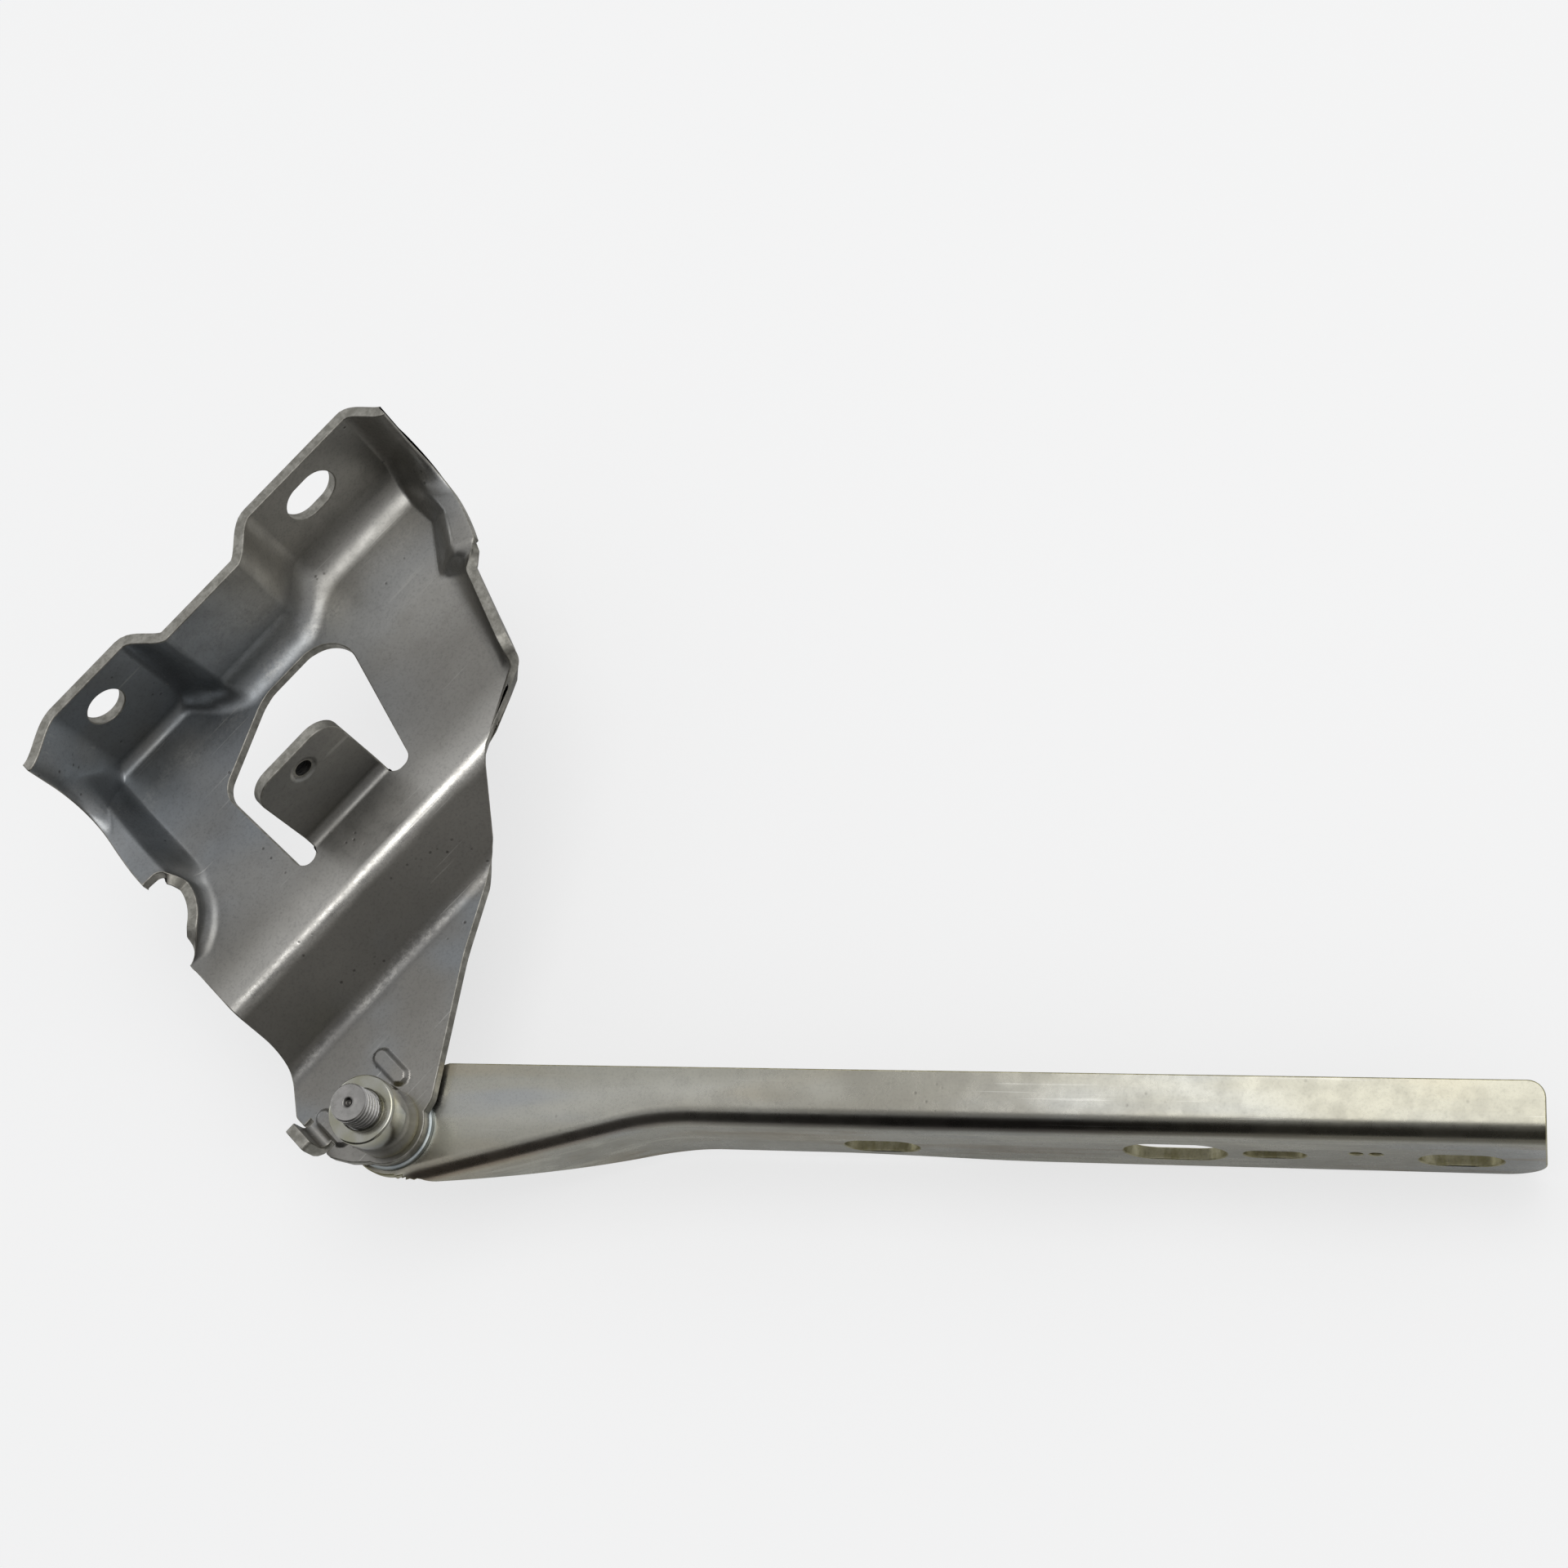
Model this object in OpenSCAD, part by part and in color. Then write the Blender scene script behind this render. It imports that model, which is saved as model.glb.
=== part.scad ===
// Hood hinge: a pressed body bracket, an angle-section hood arm and the pivot that joins them.
// The origin is on the pivot axis at the spacer's outer face, +Z points out along the threaded
// stud and +X runs along the hood arm.

/* [Bracket sheet] */
// Thickness of the bracket's sheet
bracket_t = 3; // [2:0.5:3.5]
// Angle from the hood arm to the bracket's own long direction
open_angle = 50; // [30:1:70]
// Radius of the bracket's round end about the pivot
bracket_end_r = 10.5; // [10:0.5:12]
// Height of the upper web above the pivot web
step_h = 18; // [12:1:22]
// Distance from the pivot to the lower bend of the step
step_n = 30; // [26:1:32]
// Slope of the step between the two webs
step_slope = 51; // [45:1:60]
// Radius of the hollow bend at the foot of the step
step_foot_r = 6; // [4:1:8]
// Radius of the crest at the top of the step
step_crest_r = 7; // [5:1:9]

/* [Body flange] */
// Distance from the pivot axis to the inner face of the flange's pads
flange_n = 125; // [122:1:132]
// Height of the flange above the upper web
flange_h = 35; // [33:1:42]
// Bend radius between the upper web and the flange
flange_bend_r = 9; // [7:0.5:10]
// Tight bend radius below the lower pad
pad_bend_r = 3.5; // [3:0.5:6]
// Depth of the recess between the two pads
recess_d = 8.8; // [4:0.2:10]
// Where the flange begins, along the bracket
flange_s0 = 17; // [15:1:18]
// Where the flange ends, along the bracket
flange_s1 = 124; // [123:1:127]
// How far the lower end of the flange steps in
flange_in_low = 6.6; // [4:0.2:8]
// How far the upper end of the flange steps in
flange_in_high = 8.6; // [4:0.2:9]
// Radius of the sweep from each side return up to the flange
sweep_r = 14; // [11:1:16]

/* [Side returns] */
// Height of the side returns above the upper web
return_h = 9.5; // [6:0.5:11]
// Height of the short upright rim on the upper side
rim_h = 7; // [4:0.5:9]
// Radius of the half-round notch in the lower side
notch_r = 13.3; // [12.8:0.1:13.6]
// Place of the notch's centre along the lower side, from the pivot
notch_n = 81; // [80:0.5:82]
// Height of the turned-up collar round the notch
collar_lip_h = 5.2; // [4:0.2:6]

/* [Body flange holes] */
// Diameter of the round locating hole
round_hole_d = 11; // [8:0.5:12]
// Width of the oblong hole
oblong_w = 12.4; // [9:0.2:13]
// Length of the oblong hole
oblong_l = 15.8; // [14:0.2:18]
// Place of the round hole along the bracket
round_hole_s = 26.5; // [26:0.5:28]
// Spacing of the two holes
hole_pitch = 77.7; // [75:0.1:80]
// Height of the hole centres below the flange's cut edge
hole_drop = 12; // [10:0.5:13]

/* [Lanced tab] */
// Width of the lanced tab
tab_w = 27.8; // [22:0.2:28]
// Height of the lanced tab above the upper web
tab_h = 31.5; // [30:0.5:38]
// Place of the tab's inner face, from the pivot
tab_n = 64.3; // [64:0.1:66]
// Bend radius at the tab's foot
tab_bend_r = 3; // [2:0.5:3.5]
// Corner radius of the tab
tab_corner_r = 7; // [4:0.5:8]
// Bore of the tab's threaded hole
tab_thread_d = 5; // [4:0.5:6.8]
// Outer diameter of the drawn collar behind the tab
collar_d = 9; // [8.6:0.2:11]
// Height of the drawn collar
collar_h = 1.8; // [1:0.2:3]
// Height of the threaded hole above the upper web
tab_thread_z = 24; // [22:0.5:26]

/* [Ribs and stop] */
// Length of each embossed rib
rib_l = 11.6; // [9:0.2:12]
// Width of each embossed rib
rib_w = 4.2; // [3:0.2:4.4]
// Height of each embossed rib
rib_h = 1.2; // [0.6:0.1:1.5]
// Distance of the ribs from the pivot axis, across the bracket
rib_s = 10.6; // [10.6:0.1:10.8]
// Height of the small stop tab above the pivot web
stop_h = 7.5; // [5:0.5:10]
// Width of the small stop tab
stop_w = 8; // [6:0.2:8.4]

/* [Hood arm] */
// Thickness of the arm's sheet
arm_t = 3; // [2:0.5:3.5]
// Length of the arm from the pivot axis
arm_l = 282; // [282:1:300]
// Distance from the pivot axis to the arm's straight edge
arm_top = 17.2; // [16:0.2:20]
// Distance from the pivot axis to the outer face of the hood flange
arm_face = 3; // [1:0.5:4]
// Depth of the hood flange below the arm's web
arm_flange_h = 34; // [33:0.5:40]
// How much shallower the hood flange is near the elbow
arm_waist = 4.7; // [0:0.1:6]
// Outer bend radius of the arm
arm_bend_r = 5; // [4.5:0.5:6]
// Place of the elbow along the arm
elbow_x = 70; // [66:1:74]
// Sideways run of the flange toward the pivot, per unit of length
elbow_slope = 0.27; // [0.22:0.01:0.3]
// Radius of the arm's round end about the pivot
arm_end_r = 12.4; // [12.2:0.1:13]

/* [Hood flange holes] */
// Length of the two hood bolt slots
slot_l = 19; // [14:0.5:22]
// Width of the two hood bolt slots
slot_w = 11; // [8:0.5:12]
// Place of the first slot along the arm
slot_x = 124; // [118:1:130]
// Spacing of the two slots
slot_pitch = 139; // [135:1:142]
// Depth of the slots' centre line below the arm's web
slot_drop = 21; // [18:0.5:21.5]
// Length of the large oblong opening
window_l = 24.5; // [20:0.5:27]
// Height of the large oblong opening
window_w = 15.5; // [12:0.5:17]
// Place of the large opening along the arm
window_x = 197; // [190:1:197]
// Length of the narrow opening beside it
narrow_l = 14.5; // [10:0.5:16]
// Height of the narrow opening
narrow_w = 7; // [4:0.5:9]
// Metal left between the large and the narrow opening
bridge = 2; // [2:0.5:6]
// Diameter of the two small gauge holes
gauge_d = 3; // [2:0.5:3.5]

/* [Pivot] */
// Outer diameter of the spacer sleeve
spacer_d = 18; // [17:0.5:18.4]
// Height of the spacer sleeve
spacer_h = 15; // [10:0.5:18]
// Diameter of the stud's thread
stud_d = 10; // [8:1:10]
// Length of stud that stands out of the spacer
stud_out = 7; // [5:0.5:12]
// Diameter of the pivot shank
shank_d = 12; // [11:0.5:12]
// Diameter of the bolt's head
head_d = 22; // [18:0.5:24]
// Thickness of the bolt's head
head_h = 4.5; // [3:0.5:6]
// Wall of the bush
bush_wall = 1; // [0.8:0.1:1.5]
// Diameter of the bush's flange
bush_flange_d = 23; // [20:0.5:24]
// Thickness of the bush's flange
bush_flange_t = 1.4; // [1:0.1:2]
// Diameter of the washer behind the arm
washer_d = 23; // [20:0.5:26]
// Thickness of the washer behind the arm
washer_t = 1.6; // [1:0.1:2.5]
// How much thicker the shank's neck is than the thread, in radius
neck_gap = 0.25; // [0.2:0.05:0.4]
// Radial running clearance of the bush on the shank
run_fit = 0.05; // [0.02:0.01:0.1]
// Radial clearance of the parts that are pressed or staked
seat_fit = 0.02; // [0.01:0.01:0.03]
// End play at each side of the arm
end_play = 0.05; // [0.03:0.01:0.1]

/* [Hidden] */
$fn = 96;
tiny = 0.5;
far = 400;
deg = 180 / PI;

// Levels of the stack along the pivot, from the spacer's outer face
bracket_top = -spacer_h;
bracket_back = bracket_top - bracket_t;
bush_top = bracket_back - end_play;
arm_web_top = bush_top - bush_flange_t;
arm_web_back = arm_web_top - arm_t;
washer_top = arm_web_back - end_play;
head_top = washer_top - washer_t;
neck_r = stud_d / 2 + neck_gap;

// Smooth rise from 0 to 1 as x runs from a to b
function ramp(x, a, b) = let (q = min(max((x - a) / (b - a), 0), 1)) q * q * (3 - 2 * q);
function mix(a, b, q) = a + (b - a) * q;

// Normal of a grid of points at row i and column j, from its neighbours
function grid_normal(g, i, j) =
    let (
        along = g[min(i + 1, len(g) - 1)][j] - g[max(i - 1, 0)][j],
        across = g[i][min(j + 1, len(g[0]) - 1)] - g[i][max(j - 1, 0)],
        c = cross(across, along)
    )
    c / norm(c);

// A pressed sheet: a grid of points is its face and thickness t lies behind it
module pressed_sheet(g, t) {
    rows = len(g);
    cols = len(g[0]);
    size = rows * cols;
    face = [for (row = g) each row];
    back = [for (i = [0:rows - 1], j = [0:cols - 1]) g[i][j] - t * grid_normal(g, i, j)];
    top = [
        for (i = [0:rows - 2], j = [0:cols - 2])
            let (a = i * cols + j)
                each [[a, a + cols, a + cols + 1], [a, a + cols + 1, a + 1]]
    ];
    bottom = [for (f = top) [f[0] + size, f[2] + size, f[1] + size]];
    rim = concat(
        [for (j = [0:cols - 1]) j],
        [for (i = [1:rows - 1]) i * cols + cols - 1],
        [for (j = [cols - 2:-1:0]) (rows - 1) * cols + j],
        [for (i = [rows - 2:-1:1]) i * cols]
    );
    edge = [
        for (k = [0:len(rim) - 1])
            let (a = rim[k], b = rim[(k + 1) % len(rim)])
                each [[a, b, b + size], [a, b + size, a + size]]
    ];
    polyhedron(concat(face, back), concat(top, bottom, edge));
}

// Points of a polygon whose corners carry the radii in r
function rounded(p, r) = [
    for (i = [0:len(p) - 1])
        let (
            here = p[i],
            before = p[(i + len(p) - 1) % len(p)] - here,
            after = p[(i + 1) % len(p)] - here,
            u = before / norm(before),
            v = after / norm(after),
            half = acos(max(-1, min(1, u * v))) / 2,
            reach = r[i] / tan(half),
            mid = (u + v) / norm(u + v),
            hub = here + mid * r[i] / sin(half),
            from = here + u * reach - hub,
            to = here + v * reach - hub,
            turn = 180 - 2 * half,
            side = cross(from, to) > 0 ? 1 : -1
        )
            each r[i] == 0 ? [here] : [
                for (k = [0:5])
                    let (q = side * turn * k / 5)
                        hub + [from[0] * cos(q) - from[1] * sin(q), from[0] * sin(q) + from[1] * cos(q)]
            ]
];

// A slot's outline, centred, with its length along x
module slot_outline(l, w) {
    square([l - w, w], center = true);
    for (side = [-1, 1])
        translate([side * (l - w) / 2, 0])
            circle(d = w);
}

// A quarter-round corner piece to cut away, with its corner at the origin and its arc toward -x -y
module corner_cut(r) {
    difference() {
        translate([-r, -r])
            square(r + tiny);
        translate([-r, -r])
            circle(r);
    }
}

// The bracket's own directions: x runs along it, y away from the pivot, z toward the stud
module bracket_frame() {
    translate([0, 0, bracket_top])
        rotate([0, 0, open_angle])
            children();
}

// Height of the bracket's web at distance n from the pivot
foot_n = step_n - step_foot_r * tan(step_slope / 2);
crest_n = step_n + step_h / tan(step_slope) + step_crest_r * tan(step_slope / 2);
function web_point(part, q) =
    part == "foot"
        ? [foot_n + step_foot_r * sin(step_slope * q), step_foot_r * (1 - cos(step_slope * q))]
        : [crest_n - step_crest_r * sin(step_slope * (1 - q)),
           step_h - step_crest_r * (1 - cos(step_slope * (1 - q)))];

flange_top = step_h + flange_h;
recess_from = 41;
recess_to = 51;
pad_from = 77;
pad_to = 89;
window_n = 107.6;
fan_n = 62;
even_n = 84;

// The flange's wave: how far it is set in from the pads at s, softer by soft toward its foot
function set_in(s, soft) =
    recess_d * (ramp(s, recess_from - soft, recess_to + soft) - ramp(s, pad_from - soft, pad_to + soft));
function bend_r(s) = mix(pad_bend_r, flange_bend_r, ramp(s, recess_from - 4, recess_from + 5));
function bend_n(s, soft) = flange_n - set_in(s, soft) - bend_r(s);
foot_soft = 4;

// Rows of the sheet from the round end to the flange's cut edge: [kind, value]
bend_steps = 6;
rows = concat(
    [["web", -16], ["web", 18]],
    [for (q = [0:0.25:1]) ["foot", q]],
    [for (q = [0:0.25:1]) ["crest", q]],
    [["web", crest_n + 3], ["web", 57], ["web", 60]],
    [for (n = [fan_n:2.75:even_n]) ["web", n]],
    [for (q = [0.12, 0.23, 0.29, 0.36, 0.5, 0.65, 0.8]) ["root", q]],
    [for (k = [0:bend_steps]) ["bend", k / bend_steps]],
    [["wall", 0.25], ["wall", 1]]
);

// The sheet's face at s for one row, away from the side returns: [n, z]
function base_point(row, s) =
    row[0] == "web" ? [row[1], row[1] < step_n ? 0 : step_h]
    : row[0] == "root" ? [mix(even_n, bend_n(s, foot_soft), row[1]), step_h]
    : row[0] == "bend"
        ? [bend_n(s, mix(foot_soft, 1, row[1])) + bend_r(s) * sin(90 * row[1]),
           step_h + bend_r(s) * (1 - cos(90 * row[1]))]
    : row[0] == "wall"
        ? [bend_n(s, mix(1, 0, row[1])) + bend_r(s), mix(step_h + bend_r(s), flange_top, row[1])]
    : web_point(row[0], row[1]);

// The trimmed edge of a side return for one row: [n, z], for a flange end that steps in by d
function edge_point(row, d, s) =
    let (
        hub = [flange_n - d - sweep_r, step_h + return_h + sweep_r],
        level = row[0] == "web" ? row[1] : mix(even_n, flange_n - flange_bend_r, row[1]),
        run = (level - fan_n) / (flange_n - flange_bend_r - fan_n)
    )
    row[0] == "bend" ? hub + sweep_r * [sin(90 * row[1]), -cos(90 * row[1])]
    : row[0] == "wall" ? [flange_n - d, mix(hub[1], flange_top, row[1])]
    : row[0] == "root" || (row[0] == "web" && level > fan_n)
        ? [mix(fan_n, hub[0], run), step_h + return_h]
    : base_point(row, s);

// Where the side returns start and end, along s, for a row whose point is at n
function low_start(row) =
    row[0] == "wall" ? flange_s0
    : row[0] == "bend" ? mix(14.2, flange_s0, row[1])
    : row[0] == "web" && row[1] > step_n + 20 ? mix(-6, 14, ramp(row[1], 50, 60))
    : row[0] == "root" ? 14 : -12;
function low_end(n) = mix(-24, mix(-11, mix(-0.5, 2, ramp(n, 88, 118)), ramp(n, 66, 84)), ramp(n, 48, 66));
rim_n = 57;
rim_s = 107.9;
rim_run = 0.363;
rim_bend_r = 5.2;
rim_lead = 3.5;
lip_root = 121;
lip_run = 0.72;
lip_n = 85;
function rim_foot(n) = rim_s - rim_bend_r + rim_run * max(n - rim_n, 0);
function high_start(row, n) =
    row[0] == "wall" ? flange_s1
    : row[0] == "bend" ? mix(lip_root, flange_s1, row[1])
    : let (e = edge_point(row, flange_in_high, flange_s1)[0])
        min(lip_root, max(rim_foot(e) - rim_lead, lip_root - lip_run * (window_n - n)));
function high_end(n) = 132.6 - 8 * pow((116 - n) / 31, 2);

// Section of a return that rises from the web and flares outward, at q from its root to its edge
function flare(q) = 0.8 * ramp(q, 0.04, 0.6) + 0.2 * ramp(q, 0, 1);

function low_return(row, q) =
    let (
        s0 = low_start(row),
        b = base_point(row, s0),
        e = edge_point(row, flange_in_low, s0),
        up = row[0] == "wall" ? 1 : row[0] == "bend" ? row[1] : 0,
        w = mix(flare(q), ramp(q, 0, 1), up) * (up > 0 || row[0] == "bend" ? 1 : ramp(e[0], 73, 82))
    )
    [mix(s0, low_end(e[0]), q), mix(b[0], e[0], ramp(q, 0, 1)), mix(b[1], e[1], w)];

// The short upright rim: a quarter bend and a straight stand, cut down at its lower end
rim_arc = rim_bend_r * PI / 2;
rim_cut = 7;
function rim_length(n) =
    mix(5, rim_arc + rim_h - rim_bend_r, sin(90 * min(max((n - rim_n) / rim_cut, 0), 1)));
function high_return(row, q) =
    let (
        s0 = high_start(row, base_point(row, flange_s1)[0]),
        b = base_point(row, s0),
        e = edge_point(row, flange_in_high, s0),
        up = row[0] == "wall" ? 1 : row[0] == "bend" ? row[1] : 0,
        n = mix(b[0], e[0], ramp(q, 0, 1)),
        lip = [mix(s0, high_end(e[0]), q), mix(b[1], e[1], mix(flare(q), ramp(q, 0, 1), up))],
        length = rim_length(e[0]),
        bent = q == 1 ? min(length, rim_arc) : min(0.85 * length, rim_arc) * max(q * 8 - 1, 0) / 6,
        turn = bent / rim_bend_r * deg,
        foot = rim_foot(e[0]),
        rim = q == 0 ? [s0, b[1]]
            : e[0] < rim_n ? [mix(s0, foot + 2, q), b[1]]
            : [
                foot + rim_bend_r * sin(turn),
                b[1] + rim_bend_r * (1 - cos(turn)) + (q == 1 ? max(length - rim_arc, 0) : 0)
            ],
        k = row[0] == "bend" || row[0] == "wall" ? 0 : 1 - ramp(e[0], lip_n - 1.5, lip_n + 2)
    )
    [mix(lip[0], rim[0], k), n, mix(lip[1], rim[1], k)];

// Columns across the sheet: the lower return, the wavy middle and the upper return
return_steps = 8;
middle = [20.5, 30, recess_from - 4, for (q = [0.5:1:5.5]) mix(recess_from - 1, recess_to + 1, q / 6), 60, 69,
    for (q = [0.5:1:5.5]) mix(pad_from - 1, pad_to + 1, q / 6), 94, 104, 114, 120.5];
bracket_grid = [
    for (row = rows)
        let (
            first = low_start(row),
            last = high_start(row, base_point(row, flange_s1)[0])
        )
        concat(
            [for (k = [return_steps:-1:0]) low_return(row, k / return_steps)],
            [
                for (m = middle)
                    let (
                        s = mix(first, last, (m - flange_s0) / (flange_s1 - flange_s0)),
                        b = base_point(row, s)
                    )
                        [s, b[0], b[1]]
            ],
            [for (k = [0:return_steps]) high_return(row, k / return_steps)]
        )
];

// Plan outline of the bracket below the returns, up to outline_to from the pivot
outline_to = 76;
stop_s = -16;
stop_n = 12;
stop_bend_r = 2;
relief = 1;
module bracket_outline() {
    circle(bracket_end_r);
    polygon(rounded(
        [
            [-6.8, far], [-6.8, 34], [-16, 20.5], [-16, stop_n + stop_w / 2 + relief],
            [-13.5, stop_n + stop_w / 2 + relief], [-13.5, stop_n - stop_w / 2 - relief],
            [-16.5, stop_n - stop_w / 2 - relief], [-16.3, 5], [-13.5, 0],
            [-9.5, -4.5], [0, -5], [9, -5.5], [12.5, -4.7], [44, 17.5], [71.2, 33.1], [87.2, 45.3],
            [95.4, 51.2], [102.7, 55], [106.9, 55.5], [111.5, 62], [far, 62], [far, far]
        ],
        [0, 14, 2, 0.5, 0, 0, 0.5, 1.5, 4, 3, 0, 0, 5, 60, 8, 10, 8, 6, 2.5, 2, 0, 0]
    ));
}

// The window above the lanced tab, with a relief slot at each side of the tab's foot
tab_s = 51.5;
tab_from = tab_s - tab_w / 2;
tab_to = tab_s + tab_w / 2;
tab_foot = tab_n - tab_bend_r;
relief_w = 6.2;
relief_n = 59.8;
window_points = [
    [tab_from - relief_w, relief_n], [tab_from, relief_n], [tab_from, tab_foot], [tab_to, tab_foot],
    [tab_to, relief_n], [tab_to + relief_w, relief_n], [84, window_n], [55.6, window_n],
    [tab_from - relief_w - 1, 95]
];
module window_outline() {
    polygon(rounded(window_points, [3, 3, 0, 0, 3, 3, 10, 15, 7]));
}

// Section of a tab bent up from a web that comes from -x: the web's face is at z 0
module bent_section(lead, r, t, h) {
    translate([-r - lead, -t])
        square([lead, t]);
    translate([0, r])
        square([t, h - r]);
    intersection() {
        translate([-r, r])
            difference() {
                circle(r + t);
                circle(r);
            }
        translate([-r, -t])
            square([r + t, r + t]);
    }
}

module lanced_tab() {
    difference() {
        translate([0, tab_n, step_h])
            intersection() {
                translate([tab_from, 0, 0])
                    rotate([90, 0, 90])
                        linear_extrude(tab_w)
                            bent_section(tiny, tab_bend_r, bracket_t, tab_h);
                rotate([90, 0, 0])
                    linear_extrude(far, center = true)
                        difference() {
                            translate([tab_from - tiny, -far])
                                square([tab_w + 2 * tiny, far + tab_h + tiny]);
                            translate([tab_to, tab_h])
                                corner_cut(tab_corner_r);
                            translate([tab_from, tab_h])
                                mirror([1, 0])
                                    corner_cut(tab_corner_r);
                        }
            }
        tab_thread();
    }
    difference() {
        translate([tab_s, tab_n + bracket_t - tiny, step_h + tab_thread_z])
            rotate([-90, 0, 0])
                cylinder(h = collar_h + tiny, d = collar_d);
        tab_thread();
    }
}

module tab_thread() {
    translate([tab_s, tab_n - tiny, step_h + tab_thread_z])
        rotate([-90, 0, 0])
            cylinder(h = bracket_t + collar_h + 2 * tiny, d = tab_thread_d);
}

// A low embossed rib with sloped sides
module embossed_rib() {
    slope = 0.7;
    reach = (rib_l - rib_w) / 2;
    section = [[0, -tiny], [rib_w / 2, -tiny], [rib_w / 2, 0], [rib_w / 2 - slope, rib_h], [0, rib_h]];
    for (side = [-1, 1])
        translate([0, side * reach, 0])
            rotate_extrude()
                polygon(section);
    rotate([90, 0, 0])
        linear_extrude(2 * reach, center = true)
            for (side = [0, 1])
                mirror([side, 0])
                    polygon(section);
}

module stop_tab() {
    translate([stop_s, stop_n + stop_w / 2, 0])
        mirror([1, 0, 0])
            rotate([90, 0, 0])
                linear_extrude(stop_w)
                    bent_section(1.5, stop_bend_r, bracket_t, stop_h);
}

// The half-round notch, which ends at a straight cut across the lower return
notch_s = -8;
notch_end = 86.3;
module notch_outline() {
    intersection() {
        translate([notch_s, notch_n])
            circle(notch_r);
        translate([-far, -far])
            square([2 * far, far + notch_end]);
    }
}

// Turned-up collar that carries the web's edge round the notch and fades out at its lower end
collar_turn = [-84.5, 24];
collar_fade = [[64.3, -1], [67.5, 1.6], [75, collar_lip_h - 0.5], [82, collar_lip_h], [far, collar_lip_h]];
module notch_collar() {
    fillet_r = 3.5;
    face_r = notch_r + bracket_t;
    translate([notch_s, notch_n, step_h])
        difference() {
            rotate([0, 0, collar_turn[0]])
                rotate_extrude(angle = collar_turn[1] - collar_turn[0])
                    polygon(concat(
                        [[notch_r, collar_lip_h + 2], [notch_r, -bracket_t + tiny]],
                        [[face_r + fillet_r + tiny, -bracket_t + tiny], [face_r + fillet_r + tiny, -tiny]],
                        [[face_r + fillet_r, 0]],
                        [
                            for (k = [1:5])
                                [face_r + fillet_r * (1 - sin(18 * k)), fillet_r * (1 - cos(18 * k))]
                        ],
                        [[face_r, collar_lip_h + 2]]
                    ));
            translate([-far / 2, -notch_n, 0])
                rotate([90, 0, 90])
                    linear_extrude(far)
                        polygon(concat(collar_fade, [[far, far], [-far, far], [-far, -1]]));
        }
}

module body_bracket() {
    hole_z = flange_top - hole_drop;
    color("#6f7274")
        bracket_frame()
            difference() {
                union() {
                    difference() {
                        pressed_sheet(bracket_grid, bracket_t);
                        translate([0, 0, -bracket_t - far / 2])
                            linear_extrude(far)
                                difference() {
                                    translate([-far, -far])
                                        square([2 * far, far + outline_to]);
                                    bracket_outline();
                                }
                        translate([0, 0, step_h - bracket_t - tiny])
                            linear_extrude(bracket_t + 2 * tiny)
                                window_outline();
                    }
                    lanced_tab();
                    stop_tab();
                    notch_collar();
                    for (side = [-1, 1])
                        translate([side * rib_s, 10.3, 0])
                            embossed_rib();
                }
                cylinder(h = far, d = shank_d + 2 * seat_fit, center = true);
                linear_extrude(far)
                    notch_outline();
                translate([round_hole_s, flange_n + bracket_t + tiny, hole_z])
                    rotate([90, 0, 0])
                        cylinder(h = bracket_t + 2 * tiny, d = round_hole_d);
                translate([round_hole_s + hole_pitch, flange_n + bracket_t + tiny, hole_z])
                    rotate([90, 0, 0])
                        linear_extrude(bracket_t + 2 * tiny)
                            slot_outline(oblong_l, oblong_w);
            }
}

// Hood arm: outer face of its flange and depth of the flange, at x along the arm
elbow_blend = 10;
tip_x = 8;
function face_y(x) =
    let (run = elbow_x - x)
    arm_face - elbow_slope * (run > elbow_blend ? run
        : run < -elbow_blend ? 0
        : pow(run + elbow_blend, 2) / (4 * elbow_blend));
waist_h = arm_flange_h - arm_waist;
tip_drop = 1.9;
function flange_depth(x) =
    x < tip_x ? tip_drop
    : x < elbow_x ? mix(tip_drop, waist_h, 1 - pow(1 - (x - tip_x) / (elbow_x - tip_x), 1.8))
    : mix(waist_h, arm_flange_h, ramp(x, 108, 165));

// Point of the arm's section at length l past the start of the bend
function section_point(x, l) =
    let (
        hub = [face_y(x) + arm_bend_r, -arm_bend_r],
        turn = l / arm_bend_r * deg,
        past = l - arm_bend_r * PI / 2
    )
    past > 0 ? [x, face_y(x), -arm_bend_r - past]
    : l < 0 ? [x, hub[0] - l, 0]
    : let (bent = ramp(x, 1, tip_x))
        [x, hub[0] - mix(l, arm_bend_r * sin(turn), bent), arm_bend_r * (cos(turn) - 1) * bent];
function section_length(x) =
    let (
        d = flange_depth(x),
        curved = arm_bend_r * acos(max(0, 1 - d / arm_bend_r)) / deg
    )
    curved + max(0, d - arm_bend_r) + 3 * (1 - ramp(x, 1, tip_x));

arm_bend_steps = 6;
arm_stations = concat(
    [-14, -7, 0, 4, tip_x, 11, 15, 20, 26, 33, 41, 50],
    [for (q = [-1:0.25:1]) elbow_x + elbow_blend * q],
    [96, 108, 119, 131, 142, 153, 165, arm_l]
);
arm_grid = [
    for (x = arm_stations)
        let (
            l = section_length(x),
            web = arm_top - face_y(x) - arm_bend_r,
            arc = min(arm_bend_r * PI / 2, 0.8 * l)
        )
        [
            section_point(x, -web),
            section_point(x, -1.5),
            for (k = [0:arm_bend_steps]) section_point(x, arc * k / arm_bend_steps),
            section_point(x, min(arc + 3, mix(arc, l, 0.5))),
            section_point(x, l)
        ]
];

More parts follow.
